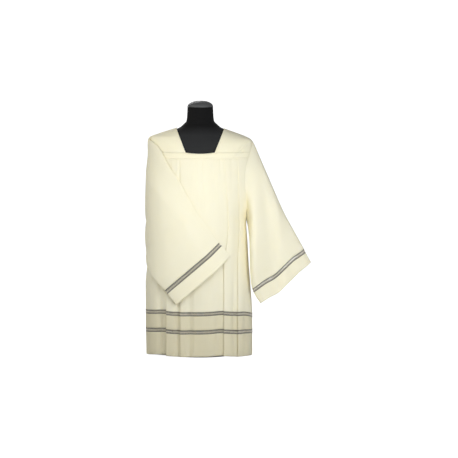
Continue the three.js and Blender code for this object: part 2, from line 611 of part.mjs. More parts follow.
const CAP = { radius: 57, rim: 4, dome: 24 };
function capGeometry() {
  const STEPS = 7;
  const profile = [[0, 0], [CAP.radius, 0], [CAP.radius, CAP.rim]];
  for (let i = 1; i < STEPS; i += 1) {
    const turn = (i / STEPS) * 90 * DEG;
    profile.push([CAP.radius * Math.cos(turn), CAP.rim + CAP.dome * Math.sin(turn)]);
  }
  profile.push([0, CAP.rim + CAP.dome]);
  return turned(profile, FORM_SIDES);
}

const baseGeometry = () =>
  turned([[0, 0], [BASE.radius, 0], [BASE.radius, BASE.height * 0.6], [BASE.radius - 6, BASE.height],
    [BASE.hub, BASE.height + 3], [BASE.hub, BASE.hubHeight], [0, BASE.hubHeight]], 32);

// ---- The part --------------------------------------------------------------------------------------------
const finish = (color, roughness) => new THREE.MeshStandardMaterial({ color, roughness });
const CLOTH_FINISH = finish(0xf6f1dc, 0.75);
const LACE_FINISH = finish(0x8d8a80, 0.7);
const COVER_FINISH = finish(0x17181a, 0.9);
const CAP_FINISH = finish(0x3f4144, 0.35);
const STEEL_FINISH = finish(0xd9d8d2, 0.5);

const part = new THREE.Group();

function add(name, geometry, material, height = 0) {
  const mesh = new THREE.Mesh(geometry, material);
  mesh.name = name;
  mesh.position.z = height;
  part.add(mesh);
}

add("stand_base", baseGeometry(), STEEL_FINISH);
const postFoot = BASE.hubHeight + SEAM;
const postLength = FORM_BOTTOM - SEAM - postFoot;
const postProfile = [[0, 0], [POST_RADIUS, 0], [POST_RADIUS, postLength], [0, postLength]];
add("stand_post", turned(postProfile, 20), STEEL_FINISH, postFoot);
add("form_body", loft(FORM.map(formRing)), COVER_FINISH);
add("form_cap", capGeometry().translate(0, FORM[0].y, 0), CAP_FINISH, NECK_END + SEAM);

for (const side of ["right", "left"]) add(`strap_${side}`, strap(side), CLOTH_FINISH);
for (const [name, { face }] of Object.entries(PANELS)) {
  add(`yoke_band_${name}`, yokeBand(face), CLOTH_FINISH);
  add(`${name}_panel`, panelPiece(name, BODY_ROWS, CLOTH), CLOTH_FINISH);
  for (const [piece, heights] of Object.entries(CUTS)) {
    const [thickness, material] = piece.endsWith("lace") ? [LACE, LACE_FINISH] : [CLOTH, CLOTH_FINISH];
    add(`${name}_${piece}`, panelPiece(name, heights, thickness), material);
  }
}

// The shares along a sleeve at which it has rows, close together where it leaves the armhole.
const SLEEVE_STEPS = {
  right: [0, 0.017, 0.034, 0.06, 0.1, 0.15, 0.22, 0.3, 0.39, 0.49, 0.6, 0.7, 0.8, 0.9, 1],
  left: [0, 0.04, 0.1, 0.18, 0.27, 0.37, 0.48, 0.6, 0.72, 0.86, 1],
};
const SEAM_SHARE = SEAM / 2 / 340; // half a seam's gap as a share of a sleeve's length
for (const side of ["right", "left"]) {
  const { from, to } = LACE_SPAN;
  const sleeve = sleevePiece(side, 0, from - SEAM_SHARE, SLEEVE_STEPS[side], CLOTH);
  const lace = sleevePiece(side, from + SEAM_SHARE, to - SEAM_SHARE, [0, 1], LACE);
  const cuff = sleevePiece(side, to + SEAM_SHARE, 1, [0, 0.5, 1], CLOTH);
  add(`sleeve_${side}`, sleeve, CLOTH_FINISH);
  add(`sleeve_lace_${side}`, lace, LACE_FINISH);
  add(`cuff_${side}`, cuff, CLOTH_FINISH);
}

export default part;
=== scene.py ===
import math

import bpy
import numpy as np
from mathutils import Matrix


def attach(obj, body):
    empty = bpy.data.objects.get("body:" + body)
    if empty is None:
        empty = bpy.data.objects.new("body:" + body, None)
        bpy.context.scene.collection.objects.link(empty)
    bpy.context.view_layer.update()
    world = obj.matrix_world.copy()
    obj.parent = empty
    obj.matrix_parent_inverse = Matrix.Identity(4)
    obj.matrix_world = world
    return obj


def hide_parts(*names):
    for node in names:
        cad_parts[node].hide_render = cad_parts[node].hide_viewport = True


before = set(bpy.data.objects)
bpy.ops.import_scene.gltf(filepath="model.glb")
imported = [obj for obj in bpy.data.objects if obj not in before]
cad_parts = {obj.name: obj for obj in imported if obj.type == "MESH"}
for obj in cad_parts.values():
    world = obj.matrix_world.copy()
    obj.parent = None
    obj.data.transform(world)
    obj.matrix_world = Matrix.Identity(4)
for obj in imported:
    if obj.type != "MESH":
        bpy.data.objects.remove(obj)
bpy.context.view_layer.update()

# ---- Camera, floor and light -----------------------------------------------------------------------------
# The garment is seen straight on and a little from above, through a long lens. It stands on a white sweep
# that serves as floor and backdrop, in soft white light that is strongest at the chest.
VIEW_WIDTH = 2.061
CAMERA_DISTANCE = 24.0
CAMERA_DROP = math.radians(4.7)
VIEW_CENTRE = (0.129, 0.0, 0.5676)
FLOOR_REACH = 300  # so far out that no edge of the floor shows
ROOM_LIGHT = 0.37  # soft light from all round
FLOOR_GLOW = 1.0  # what the backdrop lamps add to the floor's brightness, as the camera sees it
SHADE = dict(half_width=0.225, half_depth=0.12, back=0.04)  # the floor that the garment keeps dark

lens = bpy.data.cameras.new("camera")
lens.sensor_width = 36
lens.lens = lens.sensor_width * CAMERA_DISTANCE / VIEW_WIDTH
camera = bpy.data.objects.new("camera", lens)
camera.location = (
    VIEW_CENTRE[0],
    VIEW_CENTRE[1] - CAMERA_DISTANCE * math.cos(CAMERA_DROP),
    VIEW_CENTRE[2] + CAMERA_DISTANCE * math.sin(CAMERA_DROP),
)
camera.rotation_euler = (math.radians(90) - CAMERA_DROP, 0, 0)
bpy.context.collection.objects.link(camera)
bpy.context.scene.camera = camera
bpy.context.scene.view_settings.view_transform = "Standard"


def finish_node(name, color, roughness):
    """A new material and its Principled shader, with a plain colour and roughness to build on."""
    material = bpy.data.materials.new(name)
    material.use_nodes = True
    shader = material.node_tree.nodes["Principled BSDF"]
    shader.inputs["Base Color"].default_value = (*color, 1)
    shader.inputs["Roughness"].default_value = roughness
    return material, material.node_tree.nodes, material.node_tree.links, shader


floor_mesh = bpy.data.meshes.new("floor")
corners = [(x * FLOOR_REACH, y * FLOOR_REACH, 0) for x, y in ((-1, -1), (1, -1), (1, 1), (-1, 1))]
floor_mesh.from_pydata(corners, [], [(0, 1, 2, 3)])
floor = bpy.data.objects.new("floor", floor_mesh)
paint, nodes, links, shader = finish_node("floor_paint", (0.5, 0.5, 0.5), 0.9)
seen, place = nodes.new("ShaderNodeLightPath"), nodes.new("ShaderNodeTexCoord")
across, away = nodes.new("ShaderNodeVectorMath"), nodes.new("ShaderNodeVectorMath")
across.operation, away.operation = "MULTIPLY_ADD", "LENGTH"
across.inputs[1].default_value = (1 / SHADE["half_width"], 1 / SHADE["half_depth"], 0)
across.inputs[2].default_value = (0, -SHADE["back"] / SHADE["half_depth"], 0)
outside, lit = nodes.new("ShaderNodeMapRange"), nodes.new("ShaderNodeMath")
outside.inputs["From Min"].default_value = 0.85
outside.inputs["To Max"].default_value = FLOOR_GLOW
lit.operation = "MULTIPLY"
links.new(place.outputs["Object"], across.inputs[0])
links.new(across.outputs["Vector"], away.inputs[0])
links.new(away.outputs["Value"], outside.inputs["Value"])
links.new(outside.outputs["Result"], lit.inputs[1])
links.new(seen.outputs["Is Camera Ray"], lit.inputs[0])
links.new(lit.outputs[0], shader.inputs["Emission Strength"])
shader.inputs["Emission Color"].default_value = (1, 1, 1, 1)
floor_mesh.materials.append(paint)
bpy.context.collection.objects.link(floor)

room = bpy.data.worlds.new("room")
bpy.context.scene.world = room
room.use_nodes = True
nodes, links = room.node_tree.nodes, room.node_tree.links
seen, level = nodes.new("ShaderNodeLightPath"), nodes.new("ShaderNodeMapRange")
level.inputs["To Min"].default_value = ROOM_LIGHT
level.inputs["To Max"].default_value = 1.0
links.new(seen.outputs["Is Camera Ray"], level.inputs["Value"])
links.new(level.outputs["Result"], nodes["Background"].inputs["Strength"])
nodes["Background"].inputs["Color"].default_value = (1, 1, 1, 1)


def softbox(name, place, aim, size, watts, color=(1, 1, 1)):
    """A flat studio light that faces a point, with its width and height."""
    data = bpy.data.lights.new(name, "AREA")
    data.shape, data.size, data.size_y = "RECTANGLE", *size
    data.energy, data.color = watts, color
    lamp = bpy.data.objects.new(name, data)
    lamp.location = place
    toward = np.array(aim) - np.array(place)
    tilt = math.acos(-toward[2] / np.linalg.norm(toward))
    lamp.rotation_euler = (tilt, 0, math.atan2(toward[1], toward[0]) - math.pi / 2)
    lamp.visible_camera = False
    bpy.context.collection.objects.link(lamp)


softbox("front_strip", place=(0.0, -1.05, 0.9), aim=(0.0, -0.1, 0.86), size=(2.0, 0.35),
        watts=9.5, color=(1.0, 0.99, 0.95))
softbox("right_lamp", place=(0.85, -1.4, 0.5), aim=(0.15, -0.1, 0.45), size=(0.7, 0.7),
        watts=8.0, color=(0.93, 0.95, 1.0))
softbox("left_lamp", place=(-1.7, -0.6, 1.7), aim=(-0.2, -0.1, 1.0), size=(0.6, 0.6),
        watts=8.0, color=(1.0, 0.96, 0.86))
softbox("back_lamp", place=(-0.6, 2.4, 1.9), aim=(0.0, 0.1, 0.8), size=(1.2, 1.2),
        watts=27)

# ---- Stand -----------------------------------------------------------------------------------------------
# A weighted round base and a steel tube carry the form. They are turned and drawn steel under pale satin
# paint, and the tube is pushed into the base's hub.
MM = 0.001  # sizes from here on are in millimetres
POST_RADIUS = 17
POST_TOP = 410
BASE_RADIUS = 135
HUB = dict(radius=30, top=34)


def new_piece(name, points, faces, material):
    """A smooth mesh piece in metres from points in millimetres, which rides with the rest."""
    mesh = bpy.data.meshes.new(name)
    mesh.from_pydata((np.asarray(points, float) * MM).tolist(), [], faces)
    mesh.materials.append(material)
    mesh.polygons.foreach_set("use_smooth", [True] * len(mesh.polygons))
    piece = bpy.data.objects.new(name, mesh)
    bpy.context.collection.objects.link(piece)
    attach(piece, "root")
    return piece


def grid_faces(rows, columns, closed):
    """Quads over a grid of points. A closed grid's rows run round a tube."""
    spans = columns if closed else columns - 1
    i, j = np.meshgrid(np.arange(rows - 1), np.arange(spans), indexing="ij")
    a, b = i * columns + j, i * columns + (j + 1) % columns
    return np.stack([a, b, b + columns, a + columns], -1).reshape(-1, 4)


def ringed(rings, ends, inside_out=False):
    """Points and faces of a solid whose rings run from one end point to the other."""
    rows, columns = len(rings), len(rings[0])
    faces = grid_faces(rows, columns, True).tolist()
    first, last = rows * columns, (rows - 1) * columns
    for j in range(columns):
        k = (j + 1) % columns
        faces += [(first, k, j), (first + 1, last + j, last + k)]
    if inside_out:
        faces = [face[::-1] for face in faces]
    return np.vstack([*rings, *ends]), faces


def turned(name, profile, material, sides=72):
    """A solid of revolution from a profile of (radius, height) pairs that starts and ends on the axis."""
    turns = np.arange(sides) / sides * 2 * math.pi
    rings = [np.stack([radius * np.cos(turns), radius * np.sin(turns), np.full_like(turns, height)], -1)
             for radius, height in profile[1:-1]]
    ends = [[(0, 0, height)] for _, height in (profile[0], profile[-1])]
    return new_piece(name, *ringed(rings, ends), material)


def rounded(radius, height, bevel, steps=4):
    """The profile points of a rounded outer edge at a radius and height."""
    return [
        (radius - bevel + bevel * math.cos(a), height - bevel + bevel * math.sin(a))
        for a in (i / steps * math.pi / 2 for i in range(steps + 1))
    ]


def effect_group(name, inputs, outputs):
    """An empty node group with named inputs and their usual values, and named outputs."""
    group = bpy.data.node_groups.new(name, "ShaderNodeTree")
    for label, value in inputs.items():
        socket = group.interface.new_socket(label, in_out="INPUT", socket_type="NodeSocketFloat")
        socket.default_value = value
    for label in outputs:
        group.interface.new_socket(label, in_out="OUTPUT", socket_type="NodeSocketFloat")
    start, end = group.nodes.new("NodeGroupInput"), group.nodes.new("NodeGroupOutput")
    return group, group.nodes, group.links, start, end


def placed(nodes, group, **values):
    """A node group placed in a material, with its own values."""
    node = nodes.new("ShaderNodeGroup")
    node.node_tree = group
    for label, value in values.items():
        node.inputs[label].default_value = value
    return node


def speckle_group():
    """Fine noise for a finish that is never quite even: a mask and a height. Scale is grains per metre."""
    group, nodes, links, start, end = effect_group("speckle", {"Scale": 300}, ("Mask", "Height"))
    place = nodes.new("ShaderNodeTexCoord")
    broad, fine = nodes.new("ShaderNodeTexNoise"), nodes.new("ShaderNodeTexNoise")
    broad.inputs["Scale"].default_value = 9
    broad.inputs["Detail"].default_value = 3
    fine.inputs["Detail"].default_value = 2
    links.new(place.outputs["Object"], broad.inputs["Vector"])
    links.new(place.outputs["Object"], fine.inputs["Vector"])
    links.new(start.outputs["Scale"], fine.inputs["Scale"])
    links.new(broad.outputs["Fac"], end.inputs["Mask"])
    links.new(fine.outputs["Fac"], end.inputs["Height"])
    return group


def tint_by(nodes, links, mask, first, second, shader):
    """Mixes two colours by a mask into a shader's base colour."""
    blend = nodes.new("ShaderNodeMix")
    blend.data_type = "RGBA"
    blend.inputs["A"].default_value = (*first, 1)
    blend.inputs["B"].default_value = (*second, 1)
    links.new(mask, blend.inputs["Factor"])
    links.new(blend.outputs["Result"], shader.inputs["Base Color"])


def relief(nodes, links, height, strength, distance, shader):
    """Raises a shader's surface by a height."""
    bump = nodes.new("ShaderNodeBump")
    bump.inputs["Strength"].default_value = strength
    bump.inputs["Distance"].default_value = distance
    links.new(height, bump.inputs["Height"])
    links.new(bump.outputs["Normal"], shader.inputs["Normal"])


speckle = speckle_group()
stand_paint, nodes, links, shader = finish_node("stand_paint", (0.8, 0.8, 0.78), 0.45)
grain = placed(nodes, speckle, Scale=700)
tint_by(nodes, links, grain.outputs["Mask"], (0.84, 0.84, 0.82), (0.74, 0.74, 0.72), shader)
relief(nodes, links, grain.outputs["Height"], 0.15, 0.0002, shader)

base_profile = [(0, 0), (BASE_RADIUS - 2, 0), (BASE_RADIUS, 2), *rounded(BASE_RADIUS, 11, 5),
                (BASE_RADIUS - 6, 16), (HUB["radius"] + 1, 18.5), (HUB["radius"], 20),
                *rounded(HUB["radius"], HUB["top"], 3), (0, HUB["top"])]
post_profile = [(0, HUB["top"]), (POST_RADIUS, HUB["top"]), (POST_RADIUS, POST_TOP), (0, POST_TOP)]
base = turned("base", base_profile, stand_paint)
post = turned("post", post_profile, stand_paint)
for piece, node in ((base, "stand_base"), (post, "stand_post")):
    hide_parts(node)

# ---- Dress form ------------------------------------------------------------------------------------------
# A padded shell of a limbless torso and neck, under black jersey that is drawn tight. Above its crease the
# neck is painted darker, as painted shade. Its shape is read from plan sections: half width, depths in
# front and behind, and how square they are.


def table(columns, *rows):
    """The rows of a table of sizes, each with the named columns."""
    return [dict(zip(columns.split(), row)) for row in rows]


FORM = table(
    "z half front back y square",
    (1118, 57.5, 57, 57, -3, 2),
    (1077, 59.5, 57.5, 57.5, -1, 2),
    (1055, 62.5, 58.5, 59, 0, 2),
    (1039, 77, 60.5, 62, 0, 2),
    (1029, 88, 62.5, 65, 0, 2),
    (1022, 100.5, 65, 67.5, 0, 2),
    (1010, 131, 71, 74, 0, 2),
    (998, 161, 79, 82, 0, 2),
    (985, 189, 88, 91, 0, 2),
    (972, 206, 96, 97, 0, 2),
    (954, 212, 104, 102, 0, 2),
    (927, 208, 112, 107, 0, 2),
    (892, 196, 118, 110, 0, 2),
    (852, 184, 122, 111, 0, 2.1),
    (792, 174, 122, 108, 0, 2.15),
    (712, 164, 111, 99, 0, 2.15),
    (632, 156, 102, 95, 0, 2.1),
    (552, 164, 106, 102, 0, 2.1),
    (472, 173, 112, 109, 0, 2.1),
    (422, 170, 111, 108, 0, 2.1),
    (410, 160, 102, 99, 0, 2.1),
)
NECK_CREASE = dict(z=1043, depth=3.2, width=2.4, tilt=3)  # where the cover is drawn in, in front
# Painted shade: from these heights up, the neck's cover is coloured darker, standing in for less light
# there.
NECK_PAINTED_SHADE = dict(fades_from=0.995, whole_at=1.035, color=(0.002, 0.002, 0.0025))  # heights in metres


def column(rows, key, name):
    """One column of a table as a smooth curve with no overshoot, which can be read at any place."""
    rows = sorted(rows, key=lambda row: row[key])
    x = np.array([row[key] for row in rows], float)
    y = np.array([row[name] for row in rows], float)
    rate = np.diff(y) / np.diff(x)
    slope = np.empty_like(y)
    slope[0], slope[-1] = rate[0], rate[-1]
    before, after = rate[:-1], rate[1:]
    same = before * after > 0
    slope[1:-1] = np.where(same, 2 * before * after / np.where(same, before + after, 1), 0)

    def at(place):
        i = np.clip(np.searchsorted(x, place) - 1, 0, len(rate) - 1)
        h = x[i + 1] - x[i]
        u = np.clip((place - x[i]) / h, 0, 1)
        return (
            (2 * u**3 - 3 * u**2 + 1) * y[i]
            + (u**3 - 2 * u**2 + u) * h * slope[i]
            + (3 * u**2 - 2 * u**3) * y[i + 1]
            + (u**3 - u**2) * h * slope[i + 1]
        )

    return at


def powered(value, power):
    return np.sign(value) * np.abs(value) ** power


FORM_COLUMNS = {name: column(FORM, "z", name) for name in ("half", "front", "back", "y", "square")}
levels = np.concatenate([np.linspace(FORM[0]["z"], 1012, 54), np.linspace(1010, FORM[-1]["z"], 90)])
turns = np.arange(128) / 128 * 2 * math.pi
form_rings = []
for z in levels:
    row = {name: read(z) for name, read in FORM_COLUMNS.items()}
    s, c = np.sin(turns), np.cos(turns)
    off_crease = (z - NECK_CREASE["z"] - NECK_CREASE["tilt"] * s * s) / NECK_CREASE["width"]
    crease = NECK_CREASE["depth"] * np.exp(-(off_crease**2)) * np.maximum(0, c) ** 2
    depth = np.where(c > 0, row["front"], row["back"]) - crease
    form_rings.append(np.stack([
        powered(s, 2 / row["square"]) * row["half"],
        row["y"] - powered(c, 2 / row["square"]) * depth,
        np.full_like(turns, z),
    ], -1))
form_ends = [[(0, row["y"], row["z"])] for row in (FORM[0], FORM[-1])]


def crossed_waves(nodes, links, place, axes, scale):
    """The height of fine rows of loops or threads: two sine waves that cross."""
    split, both = nodes.new("ShaderNodeSeparateXYZ"), nodes.new("ShaderNodeMath")
    both.operation = "MULTIPLY"
    links.new(place, split.inputs["Vector"])
    for axis, factor in zip(axes, both.inputs):
        scaled, wave = nodes.new("ShaderNodeMath"), nodes.new("ShaderNodeMath")
        scaled.operation, wave.operation = "MULTIPLY", "SINE"
        links.new(split.outputs[axis], scaled.inputs[0])
        links.new(scale, scaled.inputs[1])
        links.new(scaled.outputs[0], wave.inputs[0])
        links.new(wave.outputs[0], factor)
    return both.outputs[0]


def knit_group():
    """Fine jersey: rows of small loops, as a height. A loop is 2 pi over the scale wide, in metres."""
    group, nodes, links, start, end = effect_group("jersey_knit", {"Scale": 1000}, ("Height",))
    place = nodes.new("ShaderNodeTexCoord")
    loops = crossed_waves(nodes, links, place.outputs["Object"], "XZ", start.outputs["Scale"])
    links.new(loops, end.inputs["Height"])
    return group


jersey, nodes, links, shader = finish_node("black_jersey", (0.02, 0.021, 0.022), 0.85)
knit, grain = placed(nodes, knit_group(), Scale=3500), placed(nodes, speckle)
tint_by(nodes, links, grain.outputs["Mask"], (0.015, 0.016, 0.0175), (0.023, 0.024, 0.0255), shader)
# The neck's painted shade: from the crease up, the cover's colour gives way to a near black.
kinds = ("TexCoord", "SeparateXYZ", "MapRange", "Mix")
place, split, rise, shade = (nodes.new(f"ShaderNode{kind}") for kind in kinds)
rise.inputs["From Min"].default_value = NECK_PAINTED_SHADE["fades_from"]
rise.inputs["From Max"].default_value = NECK_PAINTED_SHADE["whole_at"]
shade.data_type = "RGBA"
shade.inputs["B"].default_value = (*NECK_PAINTED_SHADE["color"], 1)
cover_color = shader.inputs["Base Color"].links[0].from_socket
links.new(place.outputs["Object"], split.inputs["Vector"])
links.new(split.outputs["Z"], rise.inputs["Value"])
links.new(rise.outputs["Result"], shade.inputs["Factor"])
links.new(cover_color, shade.inputs["A"])
links.new(shade.outputs["Result"], shader.inputs["Base Color"])
relief(nodes, links, knit.outputs["Height"], 0.3, 0.0003, shader)
shader.inputs["Specular IOR Level"].default_value = 0.2
shader.inputs["Sheen Weight"].default_value = 0.03
shader.inputs["Sheen Roughness"].default_value = 0.5
form_body = new_piece("form_cover", *ringed(form_rings, form_ends, inside_out=True), jersey)
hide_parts("form_body")

# ---- Neck cap --------------------------------------------------------------------------------------------
# A shallow domed cap of dark satin over a disc, gathered to its middle, with a corded rim. It is tacked to
# the top of the neck.
CAP_TOP = dict(z=1118.3, radius=57, rim=4, dome=24, y=-3)
CAP_CORD = dict(z=1120, radius=1.3, out=0.4)
PUCKERS = dict(count=20, height=0.5, sway=1.5)  # the gathers in its top


def tube(line, radius, closed, sides=6):
    """Points and faces of a round cord along a line of points."""
    ahead = np.roll(line, -1, axis=0) - np.roll(line, 1, axis=0)
    if not closed:
        ahead[0], ahead[-1] = line[1] - line[0], line[-1] - line[-2]
    ahead /= np.maximum(np.linalg.norm(ahead, axis=1), 1e-9)[:, None]
    side = np.cross(ahead, [0.0, 0.0, 1.0])
    weak = np.linalg.norm(side, axis=1) < 1e-3
    side[weak] = np.cross(ahead[weak], [0.0, 1.0, 0.0])
    side /= np.linalg.norm(side, axis=1)[:, None]
    up = np.cross(side, ahead)
    turns = np.arange(sides) / sides * 2 * math.pi
    around = np.cos(turns)[None, :, None] * side[:, None] + np.sin(turns)[None, :, None] * up[:, None]
    points = line[:, None] + radius * around
    n = len(line)
    i, j = np.meshgrid(np.arange(n if closed else n - 1), np.arange(sides), indexing="ij")
    a, b = i * sides + j, i * sides + (j + 1) % sides
    c, d = (i + 1) % n * sides + (j + 1) % sides, (i + 1) % n * sides + j
    faces = np.stack([a, d, c, b], -1).reshape(-1, 4).tolist()
    if not closed:
        faces += [list(range(sides)), list(range((n - 1) * sides, n * sides))[::-1]]
    return points.reshape(-1, 3), faces


edge = ((0.98, 0), (1, 1.5), (1, CAP_TOP["rim"]))
slopes = np.arange(1, 24) / 24 * math.pi / 2
dome = [(math.cos(a), CAP_TOP["rim"] + CAP_TOP["dome"] * math.sin(a)) for a in slopes]
cap_profile = [(CAP_TOP["radius"] * share, height) for share, height in (*edge, *dome)]
turns = np.arange(160) / 160 * 2 * math.pi
rings = []
for radius, height in cap_profile:
    share = 1 - radius / CAP_TOP["radius"]
    waves = np.sin(turns * PUCKERS["count"] + PUCKERS["sway"] * np.sin(turns * 3))
    pucker = PUCKERS["height"] * math.sin(math.pi * min(1, share * 1.2)) * waves
    rings.append(np.stack([
        (radius - 0.2 * pucker) * np.cos(turns),
        CAP_TOP["y"] + (radius - 0.2 * pucker) * np.sin(turns),
        CAP_TOP["z"] + height + pucker,
    ], -1))
ends = [[(0, CAP_TOP["y"], CAP_TOP["z"] + rise)] for rise in (0, CAP_TOP["rim"] + CAP_TOP["dome"])]
satin, nodes, links, shader = finish_node("grey_satin", (0.08, 0.082, 0.085), 0.5)
grain = placed(nodes, speckle, Scale=900)
tint_by(nodes, links, grain.outputs["Mask"], (0.058, 0.06, 0.063), (0.08, 0.083, 0.087), shader)
relief(nodes, links, grain.outputs["Height"], 0.1, 0.0002, shader)
cap = new_piece("neck_cap", *ringed(rings, ends), satin)
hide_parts("form_cap")
circle = CAP_TOP["radius"] + CAP_CORD["out"]
cord_line = np.stack([circle * np.cos(turns), CAP_TOP["y"] + circle * np.sin(turns),
                      np.full_like(turns, CAP_CORD["z"])], -1)
cap_cord = new_piece("neck_cap_cord", *tube(cord_line, CAP_CORD["radius"], True, sides=8), satin)

# ---- Pleated front and back ------------------------------------------------------------------------------
# Ivory woven cloth, cut wide and laid in knife pleats whose folds all face the wearer's right. Each panel
# hangs from its yoke band in one smooth bell, and its pleats grow deeper towards the hem.
DRAPE = table(
    "z right left front back square",
    (1028, 97, 91, 65, 68, 2),
    (1022, 114, 104.5, 67.5, 70, 2),
    (1010, 154, 137, 74, 77, 2),
    (998, 190, 171, 82, 85, 2),
    (985, 222, 204, 91, 94, 2),
    (972, 226, 227, 99, 100, 2),
    (957, 225, 236, 107, 106, 2),
    (922, 222, 238, 120, 115, 2),
    (892, 221, 238, 128, 120, 2),
    (792, 219, 238, 139, 127, 2),
    (692, 217, 226, 146, 132, 2.05),
    (607, 214, 206, 150, 136, 2.1),
    (512, 222, 212, 154, 140, 2.2),
    (392, 240, 219, 159, 145, 2.3),
    (322, 246, 225, 162, 148, 2.35),
    (192, 246, 234, 166, 152, 2.4),
    (2, 243, 234, 168, 154, 2.5),
)
DRAPE_COLUMNS = {name: column(DRAPE, "z", name) for name in ("right", "left", "front", "back", "square")}
FLOOR_GAP = 6  # how far the hem hangs off the floor
SEAM = 0.3  # the gap between two sewn edges
YOKE_SEAM = 892
TIP = dict(right=985, left=967)  # heights of the shoulder tips
UNDERARM = 607  # height of the armhole's lowest point
ARMHOLE = dict(half_depth=75, point=0.8)  # a pointed oval
CLOTH = 0.9  # thickness
GIRTH_STEPS = 400


def ease(v):
    v = np.clip(v, 0, 1)
    return v * v * (3 - 2 * v)


def mix(a, b, share):
    return a + (b - a) * share


def half_width(x, z):
    return np.where(x < 0, DRAPE_COLUMNS["right"](z), DRAPE_COLUMNS["left"](z))


def drape(turn, z, out=0.0):
    """Points on the garment's smooth shape. turn is 0 in front, -90 at the wearer's right, 180 behind."""
    turn, z, out = np.broadcast_arrays(*(np.asarray(value, float) for value in (turn, z, out)))
    s, c = np.sin(np.radians(turn)), np.cos(np.radians(turn))
    width = half_width(s, z) + out
    depth = np.where(c > 0, DRAPE_COLUMNS["front"](z), DRAPE_COLUMNS["back"](z)) + out
    power = 2 / DRAPE_COLUMNS["square"](z)
    return np.stack([powered(s, power) * width, -powered(c, power) * depth, z], -1)


def armhole_reach(side, z):
    """Half the depth of the armhole's pointed oval at a height."""
    half = (TIP[side] - UNDERARM) / 2
    up = (z - UNDERARM - half) / half
    return ARMHOLE["half_depth"] * np.maximum(0, 1 - up * up) ** ARMHOLE["point"]


def edge_turn(side, z, face):
    """The turn at which the armhole's edge lies, or a side seam below the armhole. face is -1 in front."""
    reach = np.where(z < UNDERARM, 0, armhole_reach(side, z))
    depth = DRAPE_COLUMNS["front" if face < 0 else "back"](z)
    share = (reach / depth) ** (DRAPE_COLUMNS["square"](z) / 2)
    from_front = np.degrees(np.arccos(np.clip(share, 0, 1)))
    return (-1 if side == "right" else 1) * (from_front if face < 0 else 180 - from_front)


PLEAT_FORM = table(
    "z pitch tuck",
    (892, 1.0, 20),
    (752, 1.7, 18),
    (592, 3.2, 18),
    (392, 3.6, 24),
    (2, 4.2, 28),
)
PLEAT_HEIGHTS = dict(yoke=YOKE_SEAM, chest=752, waist=582, hip=402, hem=FLOOR_GAP)
# Each fold's place across at these heights, how far it opens there, the cloth's level before and after it,
# and the bow of the flat before it.
PLEAT_COLUMNS = "at open before after bow"
PLEATS = {
    "front": table(
        PLEAT_COLUMNS,
        ((-126, -132, -140, -150, -152), (0, 0.15, 0.3, 0.1, 0), 9, 3, 0),
        ((-88, -88, -88, -88, -88), (0, 0.15, 0.35, 0.1, 0), -1, -0.5, 0),
        ((107, 119, 128, 108, 108), (0, 0.45, 0.7, 0.15, 0), 5, 3, -2),
        ((170, 174, 178, 171, 172), (0, 0.1, 0.3, 0.1, 0), -3, -2, 0),
    ),
    "back": table(
        PLEAT_COLUMNS,
        ((-128, -136, -142, -152, -156), (0, 0.3, 0.5, 0.2, 0.1), 4, 1, -2),
        ((-52, -54, -56, -62, -66), (0, 0.2, 0.35, 0.15, 0), -1, -2, 0),
        ((60, 64, 70, 62, 58), (0, 0.35, 0.6, 0.25, 0.1), 2, 0, -4),
        ((136, 140, 138, 132, 136), (0, 0.2, 0.4, 0.1, 0), -3, -1, 0),
    ),
}
# Which way each panel faces, and its cloth's level at its two side edges.
ENDS = {"front": dict(face=-1, start=-1, end=-3), "back": dict(face=1, start=1, end=-2)}
# Soft troughs between the pleats: place across, lean, top and bottom, width and depth. A held one starts at
# full depth, where gathered cloth leaves the yoke.
TROUGH_COLUMNS = "x lean top bottom width depth held"
TROUGHS = {
    "front": table(
        TROUGH_COLUMNS,
        (-46, 2, 412, -208, 15, 12, 0),
        (76, 0, 372, -208, 20, 10, 0),
        (14, 4, 892, 592, 16, 4, 0),
        (-196, 0, 372, -208, 22, 6, 0),
        (9, 6, 897, 632, 4, 2.4, 1),
        (2, -2, 897, 752, 3, 1.2, 1),
        (-30, -8, 897, 692, 9, 1.5, 1),
        (60, 10, 897, 552, 12, 2.2, 1),
        (88, 16, 897, 632, 6, 1.8, 1),
        (140, 8, 897, 592, 9, 2.2, 1),
        (30, 18, 552, 92, 20, 3.2, 0),
        (-20, 6, 322, -158, 16, 3.0, 0),
        (58, -4, 292, -158, 14, 3.4, 0),
        (150, 2, 472, -158, 11, 8, 0),
        (-108, 3, 432, -158, 11, 8, 0),
        (-182, -4, 432, -108, 12, 8, 0),
        (204, 0, 412, -158, 10, 6, 0),
    ),
    "back": table(
        TROUGH_COLUMNS,
        (2, 0, 692, -208, 30, 9, 0),
        (-108, 4, 412, -208, 22, 6, 0),
        (98, -4, 512, -208, 22, 6, 0),
        (20, 10, 897, 612, 7, 2.2, 1),
        (-84, -12, 897, 652, 8, 2.0, 1),
        (104, 6, 897, 592, 9, 2.2, 1),
        (-28, -10, 472, -108, 12, 3.0, 0),
        (168, 4, 512, -128, 11, 3.2, 0),
        (-190, -4, 472, -128, 12, 3.2, 0),
        (34, 6, 322, -158, 10, 2.6, 0),
    ),
}


def trough_depth(name, x, z):
    """How far the soft troughs press a panel in."""
    depth = np.zeros_like(x)
    for t in TROUGHS[name]:
        down = np.clip((t["top"] - z) / (t["top"] - t["bottom"]), 0, 1)
        across = (x - t["x"] - t["lean"] * down) / t["width"]
        along = (1 - ease(down)) if t["held"] else np.sin(math.pi * down) ** 2
        depth += t["depth"] * np.exp(-across * across) * along
    return depth


SIDE_DIP = dict(z=198, spread=70, width=130, drop=16)  # strongest at the height of the upper lace


def side_dip(z, from_seam):
    """How much lower the panels hang beside the left side seam."""
    fall = math.exp(-(((z - SIDE_DIP["z"]) / SIDE_DIP["spread"]) ** 2))
    return SIDE_DIP["drop"] * fall * ease(1 - from_seam / SIDE_DIP["width"])


def at_height(values, z):
    """A pleat's place or opening at a height, from its five values."""
    rows = table("z value", *zip(PLEAT_HEIGHTS.values(), values))
    return float(column(rows, "z", "value")(z))


